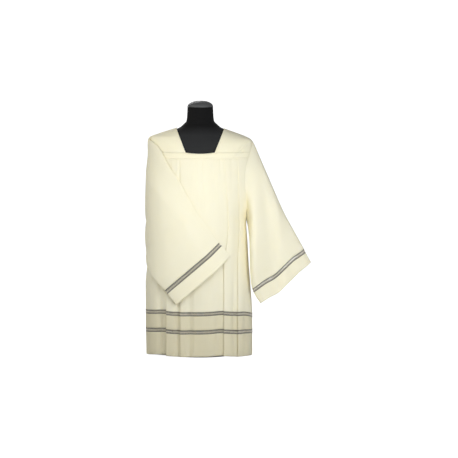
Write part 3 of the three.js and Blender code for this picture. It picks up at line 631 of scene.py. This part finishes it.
def distance_along(line):
    """The distance of each of a line's points from its start."""
    return np.concatenate([[0], np.cumsum(np.linalg.norm(np.diff(line, axis=0), axis=1))])


class Girth:
    """The plan curve of the drape at a height, from the wearer's right to left, measured along itself."""

    def __init__(self, z, face):
        start, end = (float(edge_turn(side, z, face)) for side in ("right", "left"))
        turns = np.linspace(start, end if face < 0 else end - 360, GIRTH_STEPS)
        self.points = drape(turns, z)
        self.along = distance_along(self.points[:, :2])
        self.length = self.along[-1]
        slope = np.gradient(self.points[:, :2], axis=0)
        self.inward = np.stack([slope[:, 1], -slope[:, 0]], -1) * -face
        self.inward /= np.linalg.norm(self.inward, axis=1)[:, None]

    def at_x(self, x):
        return float(np.interp(x, self.points[:, 0], self.along))

    def place(self, at, inset=0.0):
        x, y, nx, ny = (
            np.interp(at, self.along, values)
            for values in (self.points[:, 0], self.points[:, 1], self.inward[:, 0], self.inward[:, 1])
        )
        return x + nx * inset, y + ny * inset


# The cloth dips towards each fold over a ramp that ends clear of it. The first flat has its own lead-in.
RAMP = dict(length=60, clear=5, steps=14, first=14.0)
LOOSE = dict(tuck=4, pitch=0.7)  # an open fold's tuck, and its pitch as a share of a pressed one's
FLAT_STEP = 7.0  # millimetres between columns on the flat of a panel, at its hem
FOLD_STEPS = 6  # points round each of a fold's two bends


def pleat_path(name, z, flats):
    """Stations across a panel at a height: distance along the girth, inset, and rise of the cloth."""
    curve = Girth(z, ENDS[name]["face"])
    pitch, tuck = (float(column(PLEAT_FORM, "z", key)(z)) for key in ("pitch", "tuck"))
    at, inset, rise = [], [], []
    start, hidden, lift = 0.0, RAMP["first"], ENDS[name]["start"]

    def add(places, depths, lifts):
        at.extend(np.atleast_1d(places))
        inset.extend(np.broadcast_to(depths, np.shape(np.atleast_1d(places))))
        rise.extend(np.broadcast_to(lifts, np.shape(np.atleast_1d(places))))

    for pleat, flat in zip(PLEATS[name], flats):
        fold = curve.at_x(at_height(pleat["at"], z))
        loose = at_height(pleat["open"], z)
        reach, gap = mix(tuck, LOOSE["tuck"], loose), pitch * mix(1, LOOSE["pitch"], loose)
        dip = fold - RAMP["clear"]
        brink = max(start + hidden, dip - RAMP["length"])

        def level(place):
            share = np.clip((place - start) / (fold - start), 0, 1)
            return mix(lift, pleat["before"], share) + pleat["bow"] * 4 * share * (1 - share)

        places = np.linspace(start, brink, flat, endpoint=False)
        add(places, 0.0, level(places))
        share = np.linspace(0, 1, RAMP["steps"], endpoint=False)
        places = mix(brink, dip, share)
        add(places, -2 * gap * ease(share), level(places))
        add(np.linspace(dip, fold + reach, 5, endpoint=False), -2 * gap, pleat["before"])
        bend = np.linspace(-math.pi / 2, math.pi / 2, FOLD_STEPS)
        add(fold + reach + gap / 2 * np.cos(bend), -1.5 * gap + gap / 2 * np.sin(bend), pleat["before"])
        share = np.linspace(0, 1, 5, endpoint=False)[1:]
        add(mix(fold + reach, fold, share), -gap, mix(pleat["before"], pleat["after"], share))
        add(fold - gap / 2 * np.cos(bend), -gap / 2 + gap / 2 * np.sin(bend), pleat["after"])
        start, hidden, lift = fold + 1.0, reach + gap / 2 + 5, pleat["after"]
    places = np.linspace(start, curve.length, flats[-1])
    add(places, 0.0, mix(lift, ENDS[name]["end"], (places - start) / (curve.length - start)))
    return curve, np.array(at), np.array(inset), np.array(rise)


def flat_counts(name):
    """How many columns each flat of a panel has, from its width at the hem."""
    curve = Girth(FLOOR_GAP, ENDS[name]["face"])
    folds = [0.0, *(curve.at_x(p["at"][-1]) for p in PLEATS[name]), curve.length]
    return [max(8, round((b - a) / FLAT_STEP)) for a, b in zip(folds, folds[1:])]


FLATS = {name: flat_counts(name) for name in PLEATS}
SIDE_FADE = 40  # the troughs fade out over this width beside a side seam
LIFT_SPAN = dict(top=692, length=400)  # the height over which the pleats' changes of level grow


def panel_grid(name, heights):
    """A pleated panel's points over some heights."""
    rows = []
    for z in heights:
        curve, at, inset, rise = pleat_path(name, z, FLATS[name])
        at = np.clip(at, SEAM / 2, curve.length - SEAM / 2)
        middle = curve.place(at)[0]
        sides = ease(at / SIDE_FADE) * ease((curve.length - at) / SIDE_FADE)
        x, y = curve.place(at, inset - trough_depth(name, middle, z) * sides)
        dip = side_dip(z, curve.length - at)
        lift = rise * ease((LIFT_SPAN["top"] - z) / LIFT_SPAN["length"])
        rows.append(np.stack([x, y, z + lift - dip], -1))
    return np.array(rows)


def woven_group():
    """Plain weave on the cloth's own grain: a height for the threads, and a mask of thicker yarns."""
    group, nodes, links, start, end = effect_group("plain_weave", {"Threads": 1600}, ("Height", "Slub"))
    place = nodes.new("ShaderNodeTexCoord")
    threads = crossed_waves(nodes, links, place.outputs["UV"], "XY", start.outputs["Threads"])
    links.new(threads, end.inputs["Height"])
    stretch, slub = nodes.new("ShaderNodeMapping"), nodes.new("ShaderNodeTexNoise")
    stretch.inputs["Scale"].default_value = (260, 9, 1)
    slub.inputs["Scale"].default_value = 1
    slub.inputs["Detail"].default_value = 2
    links.new(place.outputs["UV"], stretch.inputs["Vector"])
    links.new(stretch.outputs["Vector"], slub.inputs["Vector"])
    links.new(slub.outputs["Fac"], end.inputs["Slub"])
    return group


plain_weave = woven_group()


def ivory_cloth(name, light, dark):
    """Ivory cloth with a fine weave, faint slubs and a soft bloom."""
    material, nodes, links, shader = finish_node(name, light, 0.82)
    weave, grain = placed(nodes, plain_weave, Threads=6500), placed(nodes, speckle)
    ramp = nodes.new("ShaderNodeMath")
    ramp.operation = "MULTIPLY"
    links.new(weave.outputs["Slub"], ramp.inputs[0])
    links.new(grain.outputs["Mask"], ramp.inputs[1])
    tint_by(nodes, links, ramp.outputs[0], light, dark, shader)
    relief(nodes, links, weave.outputs["Height"], 0.25, 0.0002, shader)
    shader.inputs["Sheen Weight"].default_value = 0.05
    shader.inputs["Sheen Roughness"].default_value = 0.6
    shader.inputs["Specular IOR Level"].default_value = 0.2
    shader.inputs["Subsurface Weight"].default_value = 0.4
    shader.inputs["Subsurface Radius"].default_value = (1.0, 0.9, 0.7)
    shader.inputs["Subsurface Scale"].default_value = 0.005
    return material


ivory = ivory_cloth("ivory_cloth", (0.92, 0.86, 0.63), (0.89, 0.82, 0.58))


def spans_of(grid, closed):
    """A grid of points, closed if it is a tube, and the lengths of its steps across and down."""
    ring = np.concatenate([grid, grid[:, :1]], axis=1) if closed else grid
    return ring, *(np.linalg.norm(np.diff(ring, axis=axis), axis=2) for axis in (1, 0))


def cut_of(grid, closed=False):
    """The flat width, length and area of a grid of cloth, in metres."""
    ring, across, down = spans_of(grid, closed)
    width, length = across.sum(axis=1).max() * MM, down.sum(axis=0).max() * MM
    a, b, c, d = ring[:-1, :-1], ring[:-1, 1:], ring[1:, 1:], ring[1:, :-1]
    area = np.linalg.norm(np.cross(c - a, d - b), axis=2).sum() / 2 * MM * MM
    return width, length, min(area, width * length)


def cloth_piece(name, grid, material, closed=False, thickness=CLOTH, flip=False):
    """A thin sheet of cloth over a grid of points, with its weave running along the grid."""
    rows, columns = grid.shape[:2]
    faces = grid_faces(rows, columns, closed)
    piece = new_piece(name, grid.reshape(-1, 3), (faces[:, ::-1] if flip else faces).tolist(), material)
    _, across, down = spans_of(grid, closed)
    u = np.concatenate([[0], np.cumsum(across.mean(axis=0))]) * MM
    v = np.concatenate([[0], np.cumsum(down.mean(axis=1))]) * MM
    i, j = np.meshgrid(np.arange(rows - 1), np.arange(len(u) - 1), indexing="ij")
    corners = np.stack([
        np.stack([u[j], v[i]], -1), np.stack([u[j + 1], v[i]], -1),
        np.stack([u[j + 1], v[i + 1]], -1), np.stack([u[j], v[i + 1]], -1),
    ], 2)
    corners = corners[:, :, ::-1] if flip else corners
    layer = piece.data.uv_layers.new(name="grain")
    layer.data.foreach_set("uv", corners.reshape(-1))
    skin = piece.modifiers.new("thickness", "SOLIDIFY")
    skin.thickness, skin.offset = thickness * MM, 0
    return piece


def declare(grid, closed=False):
    """Measures a piece's flat size along its own surface; the size is not used further."""
    width, length, area = cut_of(grid, closed)
    area = max(area, 0.3 * width * length)


LACE_WIDTH = 18.5
LOWER_LACE = FLOOR_GAP + 110.5  # middle of each lace
UPPER_LACE = FLOOR_GAP + 192
UPPER_EDGES = (UPPER_LACE + LACE_WIDTH / 2, UPPER_LACE - LACE_WIDTH / 2)
LOWER_EDGES = (LOWER_LACE + LACE_WIDTH / 2, LOWER_LACE - LACE_WIDTH / 2)
LACE_LAP = 1.6  # how far the cloth runs under the lace's edge cords
HEAD = dict(rises=(5, 2), inset=1.6)  # the seam allowance behind the yoke band
# Closer rows round the underarm, where a panel's side edges turn from the armhole into the side seam.
UNDERARM_ROWS = dict(top=632, bottom=592, count=14)

for name in ("front", "back"):
    heights = np.concatenate([YOKE_SEAM + np.array(HEAD["rises"]),
                              np.linspace(YOKE_SEAM, UNDERARM_ROWS["top"], 44, endpoint=False),
                              np.linspace(*UNDERARM_ROWS.values(), endpoint=False),
                              np.linspace(UNDERARM_ROWS["bottom"], UPPER_EDGES[0] - LACE_LAP, 60)])
    grid = panel_grid(name, heights)
    grid[:2] += np.array([0, HEAD["inset"] if name == "front" else -HEAD["inset"], 0])
    panel = cloth_piece(f"{name}_panel_cloth", grid, ivory)
    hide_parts(f"{name}_panel")
    declare(grid)

# ---- Bands and hem ---------------------------------------------------------------------------------------
# The same cloth below the panels: a plain band between the two laces, and a deep hem band below them.
# Their cloth is painted a shade deeper, as painted shade for the dimmer light low down, and they are sewn
# edge to edge with the lace.
# Painted shade: a deeper ivory for the bands and hem, standing in for the dimmer light near the floor.
painted_shade = ivory_cloth("ivory_cloth_cross_grain", (0.755, 0.69, 0.485), (0.72, 0.65, 0.445))
BANDS = {
    "band": (UPPER_EDGES[1] + LACE_LAP, LOWER_EDGES[0] - LACE_LAP, 10),
    "hem": (LOWER_EDGES[1] + LACE_LAP, FLOOR_GAP, 16),
}
for name in ("front", "back"):
    for part, (top_edge, bottom_edge, count) in BANDS.items():
        grid = panel_grid(name, np.linspace(top_edge, bottom_edge, count))
        band = cloth_piece(f"{name}_{part}_cloth", grid, painted_shade)
        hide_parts(f"{name}_{part}")
        declare(grid)

# ---- Lace insertions -------------------------------------------------------------------------------------
# Narrow ladder lace of grey and off-white thread: a heavy cord along each edge with a finer one inside it,
# a pale cord in the middle, and a ladder of fine bars between them. The cloth's edges are sewn behind it.
GREY, PALE = 0, 1
# Each cord's place across the lace as a share of its width, its radius and its thread.
LACE_CORDS = table(
    "at radius thread",
    (0.09, 1.5, GREY),
    (0.26, 0.7, GREY),
    (0.5, 1.1, PALE),
    (0.74, 0.7, GREY),
    (0.91, 1.5, GREY),
)
BAR = dict(pitch=2.7, radius=0.62, spans=((0.09, 0.5), (0.5, 0.91)))  # from each edge to the middle cord


def thread_material(name, light, dark):
    """Twisted cotton thread, speckled between two shades."""
    material, nodes, links, shader = finish_node(name, light, 0.75)
    grain = placed(nodes, speckle, Scale=1800)
    tint_by(nodes, links, grain.outputs["Height"], light, dark, shader)
    relief(nodes, links, grain.outputs["Height"], 0.4, 0.0004, shader)
    shader.inputs["Sheen Weight"].default_value = 0.1
    return material


grey_thread = thread_material("grey_thread", (0.19, 0.18, 0.155), (0.1, 0.095, 0.083))
pale_thread = thread_material("pale_thread", (0.82, 0.77, 0.65), (0.6, 0.56, 0.46))


def joined(tubes):
    """The points and faces of many tubes as one mesh."""
    points, faces, count = [], [], 0
    for tube_points, tube_faces in tubes:
        points.append(tube_points)
        faces += [[index + count for index in face] for face in tube_faces]
        count += len(tube_points)
    return np.concatenate(points), faces


def points_at(places, along, line):
    """Points on a line at some distances from its start."""
    return np.stack([np.interp(places, along, line[:, k]) for k in range(3)], -1)


def lace_piece(name, top, bottom, closed=False):
    """Ladder lace between two lines of points, one along each edge."""
    tubes = [tube(mix(top, bottom, cord["at"]), cord["radius"], closed) for cord in LACE_CORDS]
    threads = [cord["thread"] for cord in LACE_CORDS]
    ring = [np.concatenate([line, line[:1]]) if closed else line for line in (top, bottom)]
    along = distance_along(ring[0])
    places = np.arange(BAR["pitch"] / 2, along[-1], BAR["pitch"])
    ends = [points_at(places, along, line) for line in ring]
    for first, second in zip(*ends):
        for a, b in BAR["spans"]:
            bar = np.array([mix(first, second, a), mix(first, second, b)])
            tubes.append(tube(bar, BAR["radius"], False, 4))
            threads.append(PALE)
    points, faces = joined(tubes)
    threads = [thread for thread, (_, tube_faces) in zip(threads, tubes) for _ in tube_faces]
    piece = new_piece(name, points, faces, grey_thread)
    piece.data.materials.append(pale_thread)
    piece.data.polygons.foreach_set("material_index", threads)
    return piece


for name in ("front", "back"):
    for level_name, (top_edge, bottom_edge) in (("upper", UPPER_EDGES), ("lower", LOWER_EDGES)):
        grid = panel_grid(name, np.array([top_edge, bottom_edge]))
        lace = lace_piece(f"{name}_{level_name}_ladder_lace", grid[0], grid[1])
        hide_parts(f"{name}_{level_name}_lace")

# ---- Yoke ------------------------------------------------------------------------------------------------
# Straps over the shoulders and bands across the front and back, of the same cloth doubled, so they lie
# smooth. The square neck is faced and topstitched. The bands are felled over the heads of the pleats.
NECK_TOP = 107  # half the neck's width on the shoulder line
NECK = dict(front=65, back=78)  # and at the yoke bands
NECK_SAG = 5  # how much the neck's edge hangs lower in its middle
BAND_HEIGHT = 28
NECK_BOTTOM = YOKE_SEAM + BAND_HEIGHT
SMOOTH_TOP = 1 / 3  # share of a strap, from the shoulder line down, over which the creases grow
YOKE_CREASES = table(
    "start end width depth face",
    ((226, 972), (160, 914), 7, 6.0, -1),
    ((214, 930), (150, 905), 5, 2.0, -1),
    ((-70, 927), (-150, 982), 12, -1.5, -1),
    ((72, 922), (110, 982), 10, 1.5, -1),
    ((-205, 952), (-120, 914), 6, 2.0, 1),
    ((200, 947), (120, 910), 6, 2.0, 1),
)


def drape_depth(x, z, face):
    """How far in front or behind the drape lies at a place across."""
    depth = DRAPE_COLUMNS["front" if face < 0 else "back"](z)
    square = DRAPE_COLUMNS["square"](z)
    return face * depth * np.maximum(0, 1 - (np.abs(x) / half_width(x, z)) ** square) ** (1 / square)


def ridge(x, side):
    """The height of the shoulder line at a place across, found by halving."""
    low, high = np.full_like(x, TIP[side]), np.full_like(x, DRAPE[0]["z"])
    for _ in range(40):
        z = (low + high) / 2
        inside = DRAPE_COLUMNS[side](z) > np.abs(x)
        low, high = np.where(inside, z, low), np.where(inside, high, z)
    return (low + high) / 2


def crease_depth(creases, x, z, face):
    """How far the creases press the cloth in. Each is a line between two points that fades at its ends."""
    depth = np.zeros_like(x)
    for crease in creases:
        if crease["face"] != face:
            continue
        (x0, z0), (x1, z1) = crease["start"], crease["end"]
        length = math.hypot(x1 - x0, z1 - z0)
        ux, uz = (x1 - x0) / length, (z1 - z0) / length
        along = ((x - x0) * ux + (z - z0) * uz) / length
        across = ((x - x0) * uz - (z - z0) * ux) / crease["width"]
        ends = ease((along + 0.1) / 0.35) * ease((1.1 - along) / 0.35)
        depth += crease["depth"] * np.exp(-across * across) * ends
    return depth


def strap_grid(side, columns=56, rows=44):
    """A strap's points, from the front corner of the neck over the shoulder to the back corner."""
    sign = -1 if side == "right" else 1
    halves = []
    for face in (-1, 1):
        shares = 1 - np.cos(np.linspace(0, math.pi / 2, rows))
        grid = []
        for share in shares:
            across = np.linspace(0, 1, columns)
            neck = mix(NECK_TOP, NECK["front" if face < 0 else "back"], share)
            level = mix(TIP[side], NECK_BOTTOM, share)
            edge = abs(drape(float(edge_turn(side, level, face)), level)[0])
            tip = abs(drape(sign * 90.0, TIP[side])[0])
            top_line = ridge(sign * mix(NECK_TOP, tip, across), side)
            x = sign * mix(neck, edge, across)
            z = mix(top_line, NECK_BOTTOM, share)
            y = np.zeros_like(x) if share == 0 else drape_depth(x, z, face)
            y = y - face * crease_depth(YOKE_CREASES, x, z, face) * min(1, share / SMOOTH_TOP)
            grid.append(np.stack([x, y, z], -1))
        halves.append(np.array(grid))
    return np.concatenate([halves[0][::-1], halves[1][1:]])


def band_grid(face, columns=140, rows=9):
    """A yoke band's points, from the neck's lower edge to the heads of the pleats."""
    grid = []
    for share in np.linspace(0, 1, rows):
        z = mix(NECK_BOTTOM, YOKE_SEAM, share)
        start, end = (float(edge_turn(side, z, face)) for side in ("right", "left"))
        points = drape(np.linspace(start, end if face < 0 else end - 360, columns), z)
        half = NECK["front" if face < 0 else "back"]
        points[:, 1] -= face * crease_depth(YOKE_CREASES, points[:, 0], points[:, 2], face)
        points[:, 2] -= NECK_SAG * (1 - share) * np.maximum(0, 1 - (points[:, 0] / half) ** 2)
        grid.append(points)
    return np.array(grid)


YOKE_GRIDS = {f"strap_{side}": strap_grid(side) for side in ("right", "left")}
YOKE_GRIDS.update({"yoke_band_front": band_grid(-1), "yoke_band_back": band_grid(1)})
for name, grid in YOKE_GRIDS.items():
    piece = cloth_piece(f"{name}_cloth", grid, ivory, thickness=1.3, flip=name == "strap_left")
    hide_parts(name)
    declare(grid)

# ---- Left sleeve -----------------------------------------------------------------------------------------
# A wide sleeve folded along its top, set into the armhole and hanging clear of the body. Its sections are
# the fold on top, the fold under the arm, and how far its two layers stand apart.
LEFT_SLEEVE = table(
    "t topX topY topZ lowX lowY lowZ apart",
    (0, 231, 0, 967, 206, 0, 607, 150),
    (0.06, 242, -1, 947, 212, -6, 582, 140),
    (0.25, 282, -3, 856, 219, -46, 512, 112),
    (0.45, 327, -6, 750, 221, -66, 434, 90),
    (0.65, 375, -9, 642, 223, -76, 370, 72),
    (0.8, 423, -11, 554, 227, -80, 326, 60),
    (0.885, 464, -12, 479, 232, -82, 306, 52),
    (0.912, 472, -12, 462, 238, -80, 289, 50),
    (1, 496, -13, 419, 268, -84, 240, 46),
)
LACE_SPAN = (0.885, 0.912)  # shares along the sleeve
SPAN_LAP = 0.0022  # how far the cloth runs under the lace there
SETTLE = 0.35  # share of the sleeve over which the armhole's shape fades
SEAM_LAP = 1.7  # how far the sleeve stands off the armhole's edge
CUFF_BOW = 8  # how much lower the cuff hangs in its middle
# Long soft folds down the front of the sleeve: places at its head and cuff, how far they stand out and sag.
SLEEVE_FOLDS = table(
    "head cuff width out sag",
    (0.45, 1.1, 0.2, 9, 0),
    (0, 0.63, 0.15, -9, 11),
    (-0.55, 0.52, 0.1, 5, 0),
    (0.1, 0.22, 0.1, 2, -4),
)
FOLD_FADE = dict(head=0.5, top=0.08, low=0.12, behind=0.4)  # how the folds die away
# Round a sleeve, each point is some way down its section, on the front layer (-1) or the back one (1).
RING_STEPS = 72
ring_down = (1 - np.cos(np.linspace(0, math.pi, RING_STEPS + 1))) / 2
RING = np.concatenate([np.stack([ring_down, np.full_like(ring_down, -1)], -1)[:-1],
                       np.stack([ring_down[::-1], np.full_like(ring_down, 1)], -1)[:-1]])
DOWN, FACE = RING[:, 0], RING[:, 1]


def bulge(down, share, blunt=0.25):
    """How far a section's layers part: the armhole's oval at its head, then flatter towards the cuff."""
    power, root = mix(2, 4, share), mix(ARMHOLE["point"], blunt, share)
    return np.maximum(0, 1 - np.abs(2 * down - 1) ** power) ** root


def left_sleeve_row(t):
    """The points round the hanging sleeve at a share of its length."""
    read = {key: float(column(LEFT_SLEEVE, "t", key)(t)) for key in LEFT_SLEEVE[0] if key != "t"}
    x = mix(read["topX"], read["lowX"], DOWN)
    y = mix(read["topY"], read["lowY"], DOWN) + FACE * read["apart"] * bulge(DOWN, ease(t / SETTLE)) / 2
    z = mix(read["topZ"], read["lowZ"], DOWN)
    level = mix(TIP["left"], UNDERARM, DOWN)
    turn = np.where(FACE < 0, edge_turn("left", level, -1), edge_turn("left", level, 1))
    seam = drape(turn, level)[:, 0]
    head = mix(LEFT_SLEEVE[0]["topX"], LEFT_SLEEVE[0]["lowX"], DOWN)
    x = x + (seam - head) * (1 - ease(t / SETTLE)) + SEAM_LAP
    for fold in SLEEVE_FOLDS:
        across = (DOWN - mix(fold["head"], fold["cuff"], t)) / fold["width"]
        share = np.exp(-across * across) * ease(t / FOLD_FADE["head"])
        within = ease(DOWN / FOLD_FADE["top"]) * ease((1 - DOWN) / FOLD_FADE["low"])
        y -= fold["out"] * share * within * np.where(FACE < 0, 1, -FOLD_FADE["behind"])
        z -= fold["sag"] * share
    z -= CUFF_BOW * ease((t - LACE_SPAN[1]) / (1 - LACE_SPAN[1])) * 4 * DOWN * (1 - DOWN)
    return np.stack([x, y, z], -1)


# ---- Right sleeve ----------------------------------------------------------------------------------------
# The other sleeve is laid across the front. Its sections are turns round the body, heights, and how far its
# inner layer stands off the panels.
RIGHT_SLEEVE = table(
    "t topTurn topZ topOff lowTurn lowZ lowOff apart",
    (0, -90, 985, 2, -90, 607, 2, 0),
    (0.015, -82, 978, 3, -90, 603, 9, 11),
    (0.03, -69, 966, 4, -90, 598, 15, 13),
    (0.05, -58, 952, 5, -89.5, 591, 19, 14),
    (0.1, -50, 925, 5, -88.5, 577, 22, 15),
    (0.22, -38.5, 860, 5, -86, 547, 20, 18),
    (0.35, -24.5, 789, 6, -83.5, 507, 14, 20),
    (0.5, -11.5, 704, 6, -79, 457, 7, 18),
    (0.65, 0, 635, 7, -71, 417, 7, 18),
    (0.78, 11.5, 569, 7, -57, 374, 8, 18),
    (0.885, 20.5, 518, 7, -33, 304, 9, 16),
    (0.912, 24, 503, 7, -29.5, 289, 9, 16),
    (1, 35.5, 457, 8, -19.7, 242, 9, 16),
)
RIGHT_COLUMNS = {key: column(RIGHT_SLEEVE, "t", key) for key in RIGHT_SLEEVE[0] if key != "t"}
# How much flatter the cloth lies along its upper fold, near the head and further on, and how soon.
PRESS = dict(head=0.4, cuff=0.68, width=0.3, start=0.08, length=0.25, fade=0.06)
PARTING = dict(length=0.012, blunt=0.45)  # how soon the two layers part, and how blunt their edges are
STRAIGHT = dict(start=0.45, length=0.4)  # where rows led from the armhole give way to rows straight across
FLAT = dict(start=0.68, length=0.14)  # where those become straight lines as seen from the front


def turn_at(x, z):
    """The turn at which the front of the drape lies at a place across."""
    share = np.clip(np.abs(x) / half_width(x, z), 0, 1)
    return np.sign(x) * np.degrees(np.arcsin(share ** (DRAPE_COLUMNS["square"](z) / 2)))


def share_at(key, z):
    """The share along the sleeve at which one of its folds reaches a height, found by halving."""
    low, high = np.zeros_like(z), np.ones_like(z)
    for _ in range(30):
        t = (low + high) / 2
        above = RIGHT_COLUMNS[key](t) > z
        low, high = np.where(above, t, low), np.where(above, high, t)
    return (low + high) / 2


def right_sleeve_row(t):
    """The points round the laid sleeve at a share of its length."""
    read = {key: float(RIGHT_COLUMNS[key](t)) for key in RIGHT_COLUMNS}
    z = mix(read["topZ"], read["lowZ"], DOWN)
    near = np.where(z >= UNDERARM, 0, share_at("lowZ", z))
    seam = np.where(FACE < 0, edge_turn("right", z, -1), edge_turn("right", z, 1))
    near_turn = np.where(z >= UNDERARM, seam, RIGHT_COLUMNS["lowTurn"](near))
    cuff_top, cuff_low = RIGHT_SLEEVE[-1]["topZ"], RIGHT_SLEEVE[-1]["lowZ"]
    cuff = (cuff_top - z) / (cuff_top - cuff_low)
    far = np.where(cuff > 0, 1, share_at("topZ", z))
    at_cuff = mix(RIGHT_SLEEVE[-1]["topTurn"], RIGHT_SLEEVE[-1]["lowTurn"], cuff)
    far_turn = np.where(cuff > 0, at_cuff, RIGHT_COLUMNS["topTurn"](far))
    span = far - near
    share = np.where(span < 1e-6, 1, np.clip((t - near) / np.maximum(span, 1e-6), 0, 1))
    ends = [drape(read[turn], read[level])[0] for turn, level in (("topTurn", "topZ"), ("lowTurn", "lowZ"))]
    slanted = mix(read["topTurn"], read["lowTurn"], DOWN)
    flat = mix(slanted, turn_at(mix(ends[0], ends[1], DOWN), z), ease((t - FLAT["start"]) / FLAT["length"]))
    straight = ease((t - STRAIGHT["start"]) / STRAIGHT["length"])
    straight = np.where((DOWN == 0) | (DOWN == 1), 1, straight)
    turn = mix(mix(near_turn, far_turn, share), flat, straight)
    part = read["apart"] / 2 * (1 + FACE * bulge(DOWN, ease(t / PARTING["length"]), PARTING["blunt"]))
    flattened = mix(PRESS["head"], PRESS["cuff"], ease((t - PRESS["start"]) / PRESS["length"]))
    pressed = 1 - flattened * (1 - ease(DOWN / PRESS["width"])) * ease(t / PRESS["fade"])
    return drape(turn, z, (mix(read["topOff"], read["lowOff"], DOWN) + part) * pressed)


SLEEVE_HEAD = 5.0  # the seam's allowance, turned in under the armhole's edge
HEAD_ROWS = dict(share=0.12, count=16)  # closer rows near the armhole
SLEEVE_ROWS = dict(left=left_sleeve_row, right=right_sleeve_row)
for side, row_of in SLEEVE_ROWS.items():
    shares = np.concatenate([np.linspace(0, HEAD_ROWS["share"], HEAD_ROWS["count"], endpoint=False),
                             np.linspace(HEAD_ROWS["share"], LACE_SPAN[0] + SPAN_LAP, 64)])
    grid = np.array([row_of(t) for t in shares])
    inward = np.array([SLEEVE_HEAD if side == "right" else -SLEEVE_HEAD, 0, 0])
    head = grid[0] + inward
    grid = np.concatenate([[head, mix(head, grid[0], 0.5)], grid])
    sleeve = cloth_piece(f"sleeve_{side}_cloth", grid, ivory, closed=True)
    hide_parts(f"sleeve_{side}")
    declare(grid, closed=True)

# ---- Cuffs -----------------------------------------------------------------------------------------------
# A plain band of the same cloth ends each sleeve, with the same ladder lace let in above it. Each is closed
# to a tube and sewn on, and the cuff's edge is turned up inside.
for side, row_of in SLEEVE_ROWS.items():
    lace = lace_piece(f"sleeve_lace_{side}_ladder", row_of(LACE_SPAN[0]), row_of(LACE_SPAN[1]), closed=True)
    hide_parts(f"sleeve_lace_{side}")
    grid = np.array([row_of(t) for t in np.linspace(LACE_SPAN[1] - SPAN_LAP, 1, 10)])
    cuff = cloth_piece(f"cuff_{side}_cloth", grid, ivory, closed=True)
    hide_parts(f"cuff_{side}")
    declare(grid, closed=True)

# ---- Topstitching ----------------------------------------------------------------------------------------
# Rows of short ivory stitches hold the turned edges down: round the neck, over both yoke seams, beside the
# armholes, and along the hem and the cuffs. They are worked last, by machine, through all the layers.
STITCH = dict(length=2.1, pitch=3.1, first=1.5, radius=0.32, lift=0.75, yoke_lift=1.0)
HEM_TURN = 20  # height of the turned hem
CUFF_ROW = 0.98  # share along the sleeve at which the cuff is stitched
ivory_thread = thread_material("ivory_thread", (0.8, 0.74, 0.54), (0.68, 0.62, 0.44))


def lifted(grid, away=(0, 0, 650), by=STITCH["lift"]):
    """A grid of points raised off its cloth, on the side that faces away from a point."""
    normal = np.cross(np.gradient(grid, axis=0), np.gradient(grid, axis=1))
    normal /= np.maximum(np.linalg.norm(normal, axis=2), 1e-9)[..., None]
    outward = np.sign(np.sum(normal * (grid - np.array(away)), axis=2))[..., None]
    return grid + normal * outward * by


def stitches(name, lines):
    """One piece of separate stitches along some lines of points."""
    tubes = []
    for line in lines:
        along = distance_along(line)
        starts = np.arange(STITCH["first"], along[-1] - 2 * STITCH["first"], STITCH["pitch"])
        ends = [points_at(at, along, line) for at in (starts, starts + STITCH["length"])]
        tubes += [tube(np.array(pair), STITCH["radius"], False, 4) for pair in zip(*ends)]
    piece = new_piece(name, *joined(tubes), ivory_thread)


# The stitched lines, as rows and columns of the yoke's grids.
raised = {name: lifted(grid, by=STITCH["yoke_lift"]) for name, grid in YOKE_GRIDS.items()}
NECK_COLUMN, ARMHOLE_COLUMN = 2, -3
BAND_ROWS = dict(neck=1, panel=7)
NECK_SPANS = dict(front=slice(52, 88), back=slice(50, 90))
straps = [raised["strap_right"], raised["strap_left"]]
bands = {name: raised[f"yoke_band_{name}"] for name in ("front", "back")}
stitches("neck_topstitching", [strap[:, NECK_COLUMN] for strap in straps]
         + [bands[name][BAND_ROWS["neck"], span] for name, span in NECK_SPANS.items()])
stitches("yoke_topstitching", [band[row] for band in bands.values() for row in BAND_ROWS.values()])
stitches("armhole_topstitching", [strap[:, ARMHOLE_COLUMN] for strap in straps])
for name in ("front", "back"):
    hem_rows = lifted(panel_grid(name, FLOOR_GAP + HEM_TURN + np.array([2.0, 0.0, -2.0])))
    stitches(f"{name}_hem_topstitching", [hem_rows[1]])
for side, row_of in SLEEVE_ROWS.items():
    cuff_rows = np.array([row_of(CUFF_ROW + step) for step in (-0.005, 0.0, 0.005)])
    middle = cuff_rows[1].mean(axis=0)
    stitches(f"cuff_{side}_topstitching", [lifted(cuff_rows, away=middle)[1]])

bpy.context.view_layer.update()
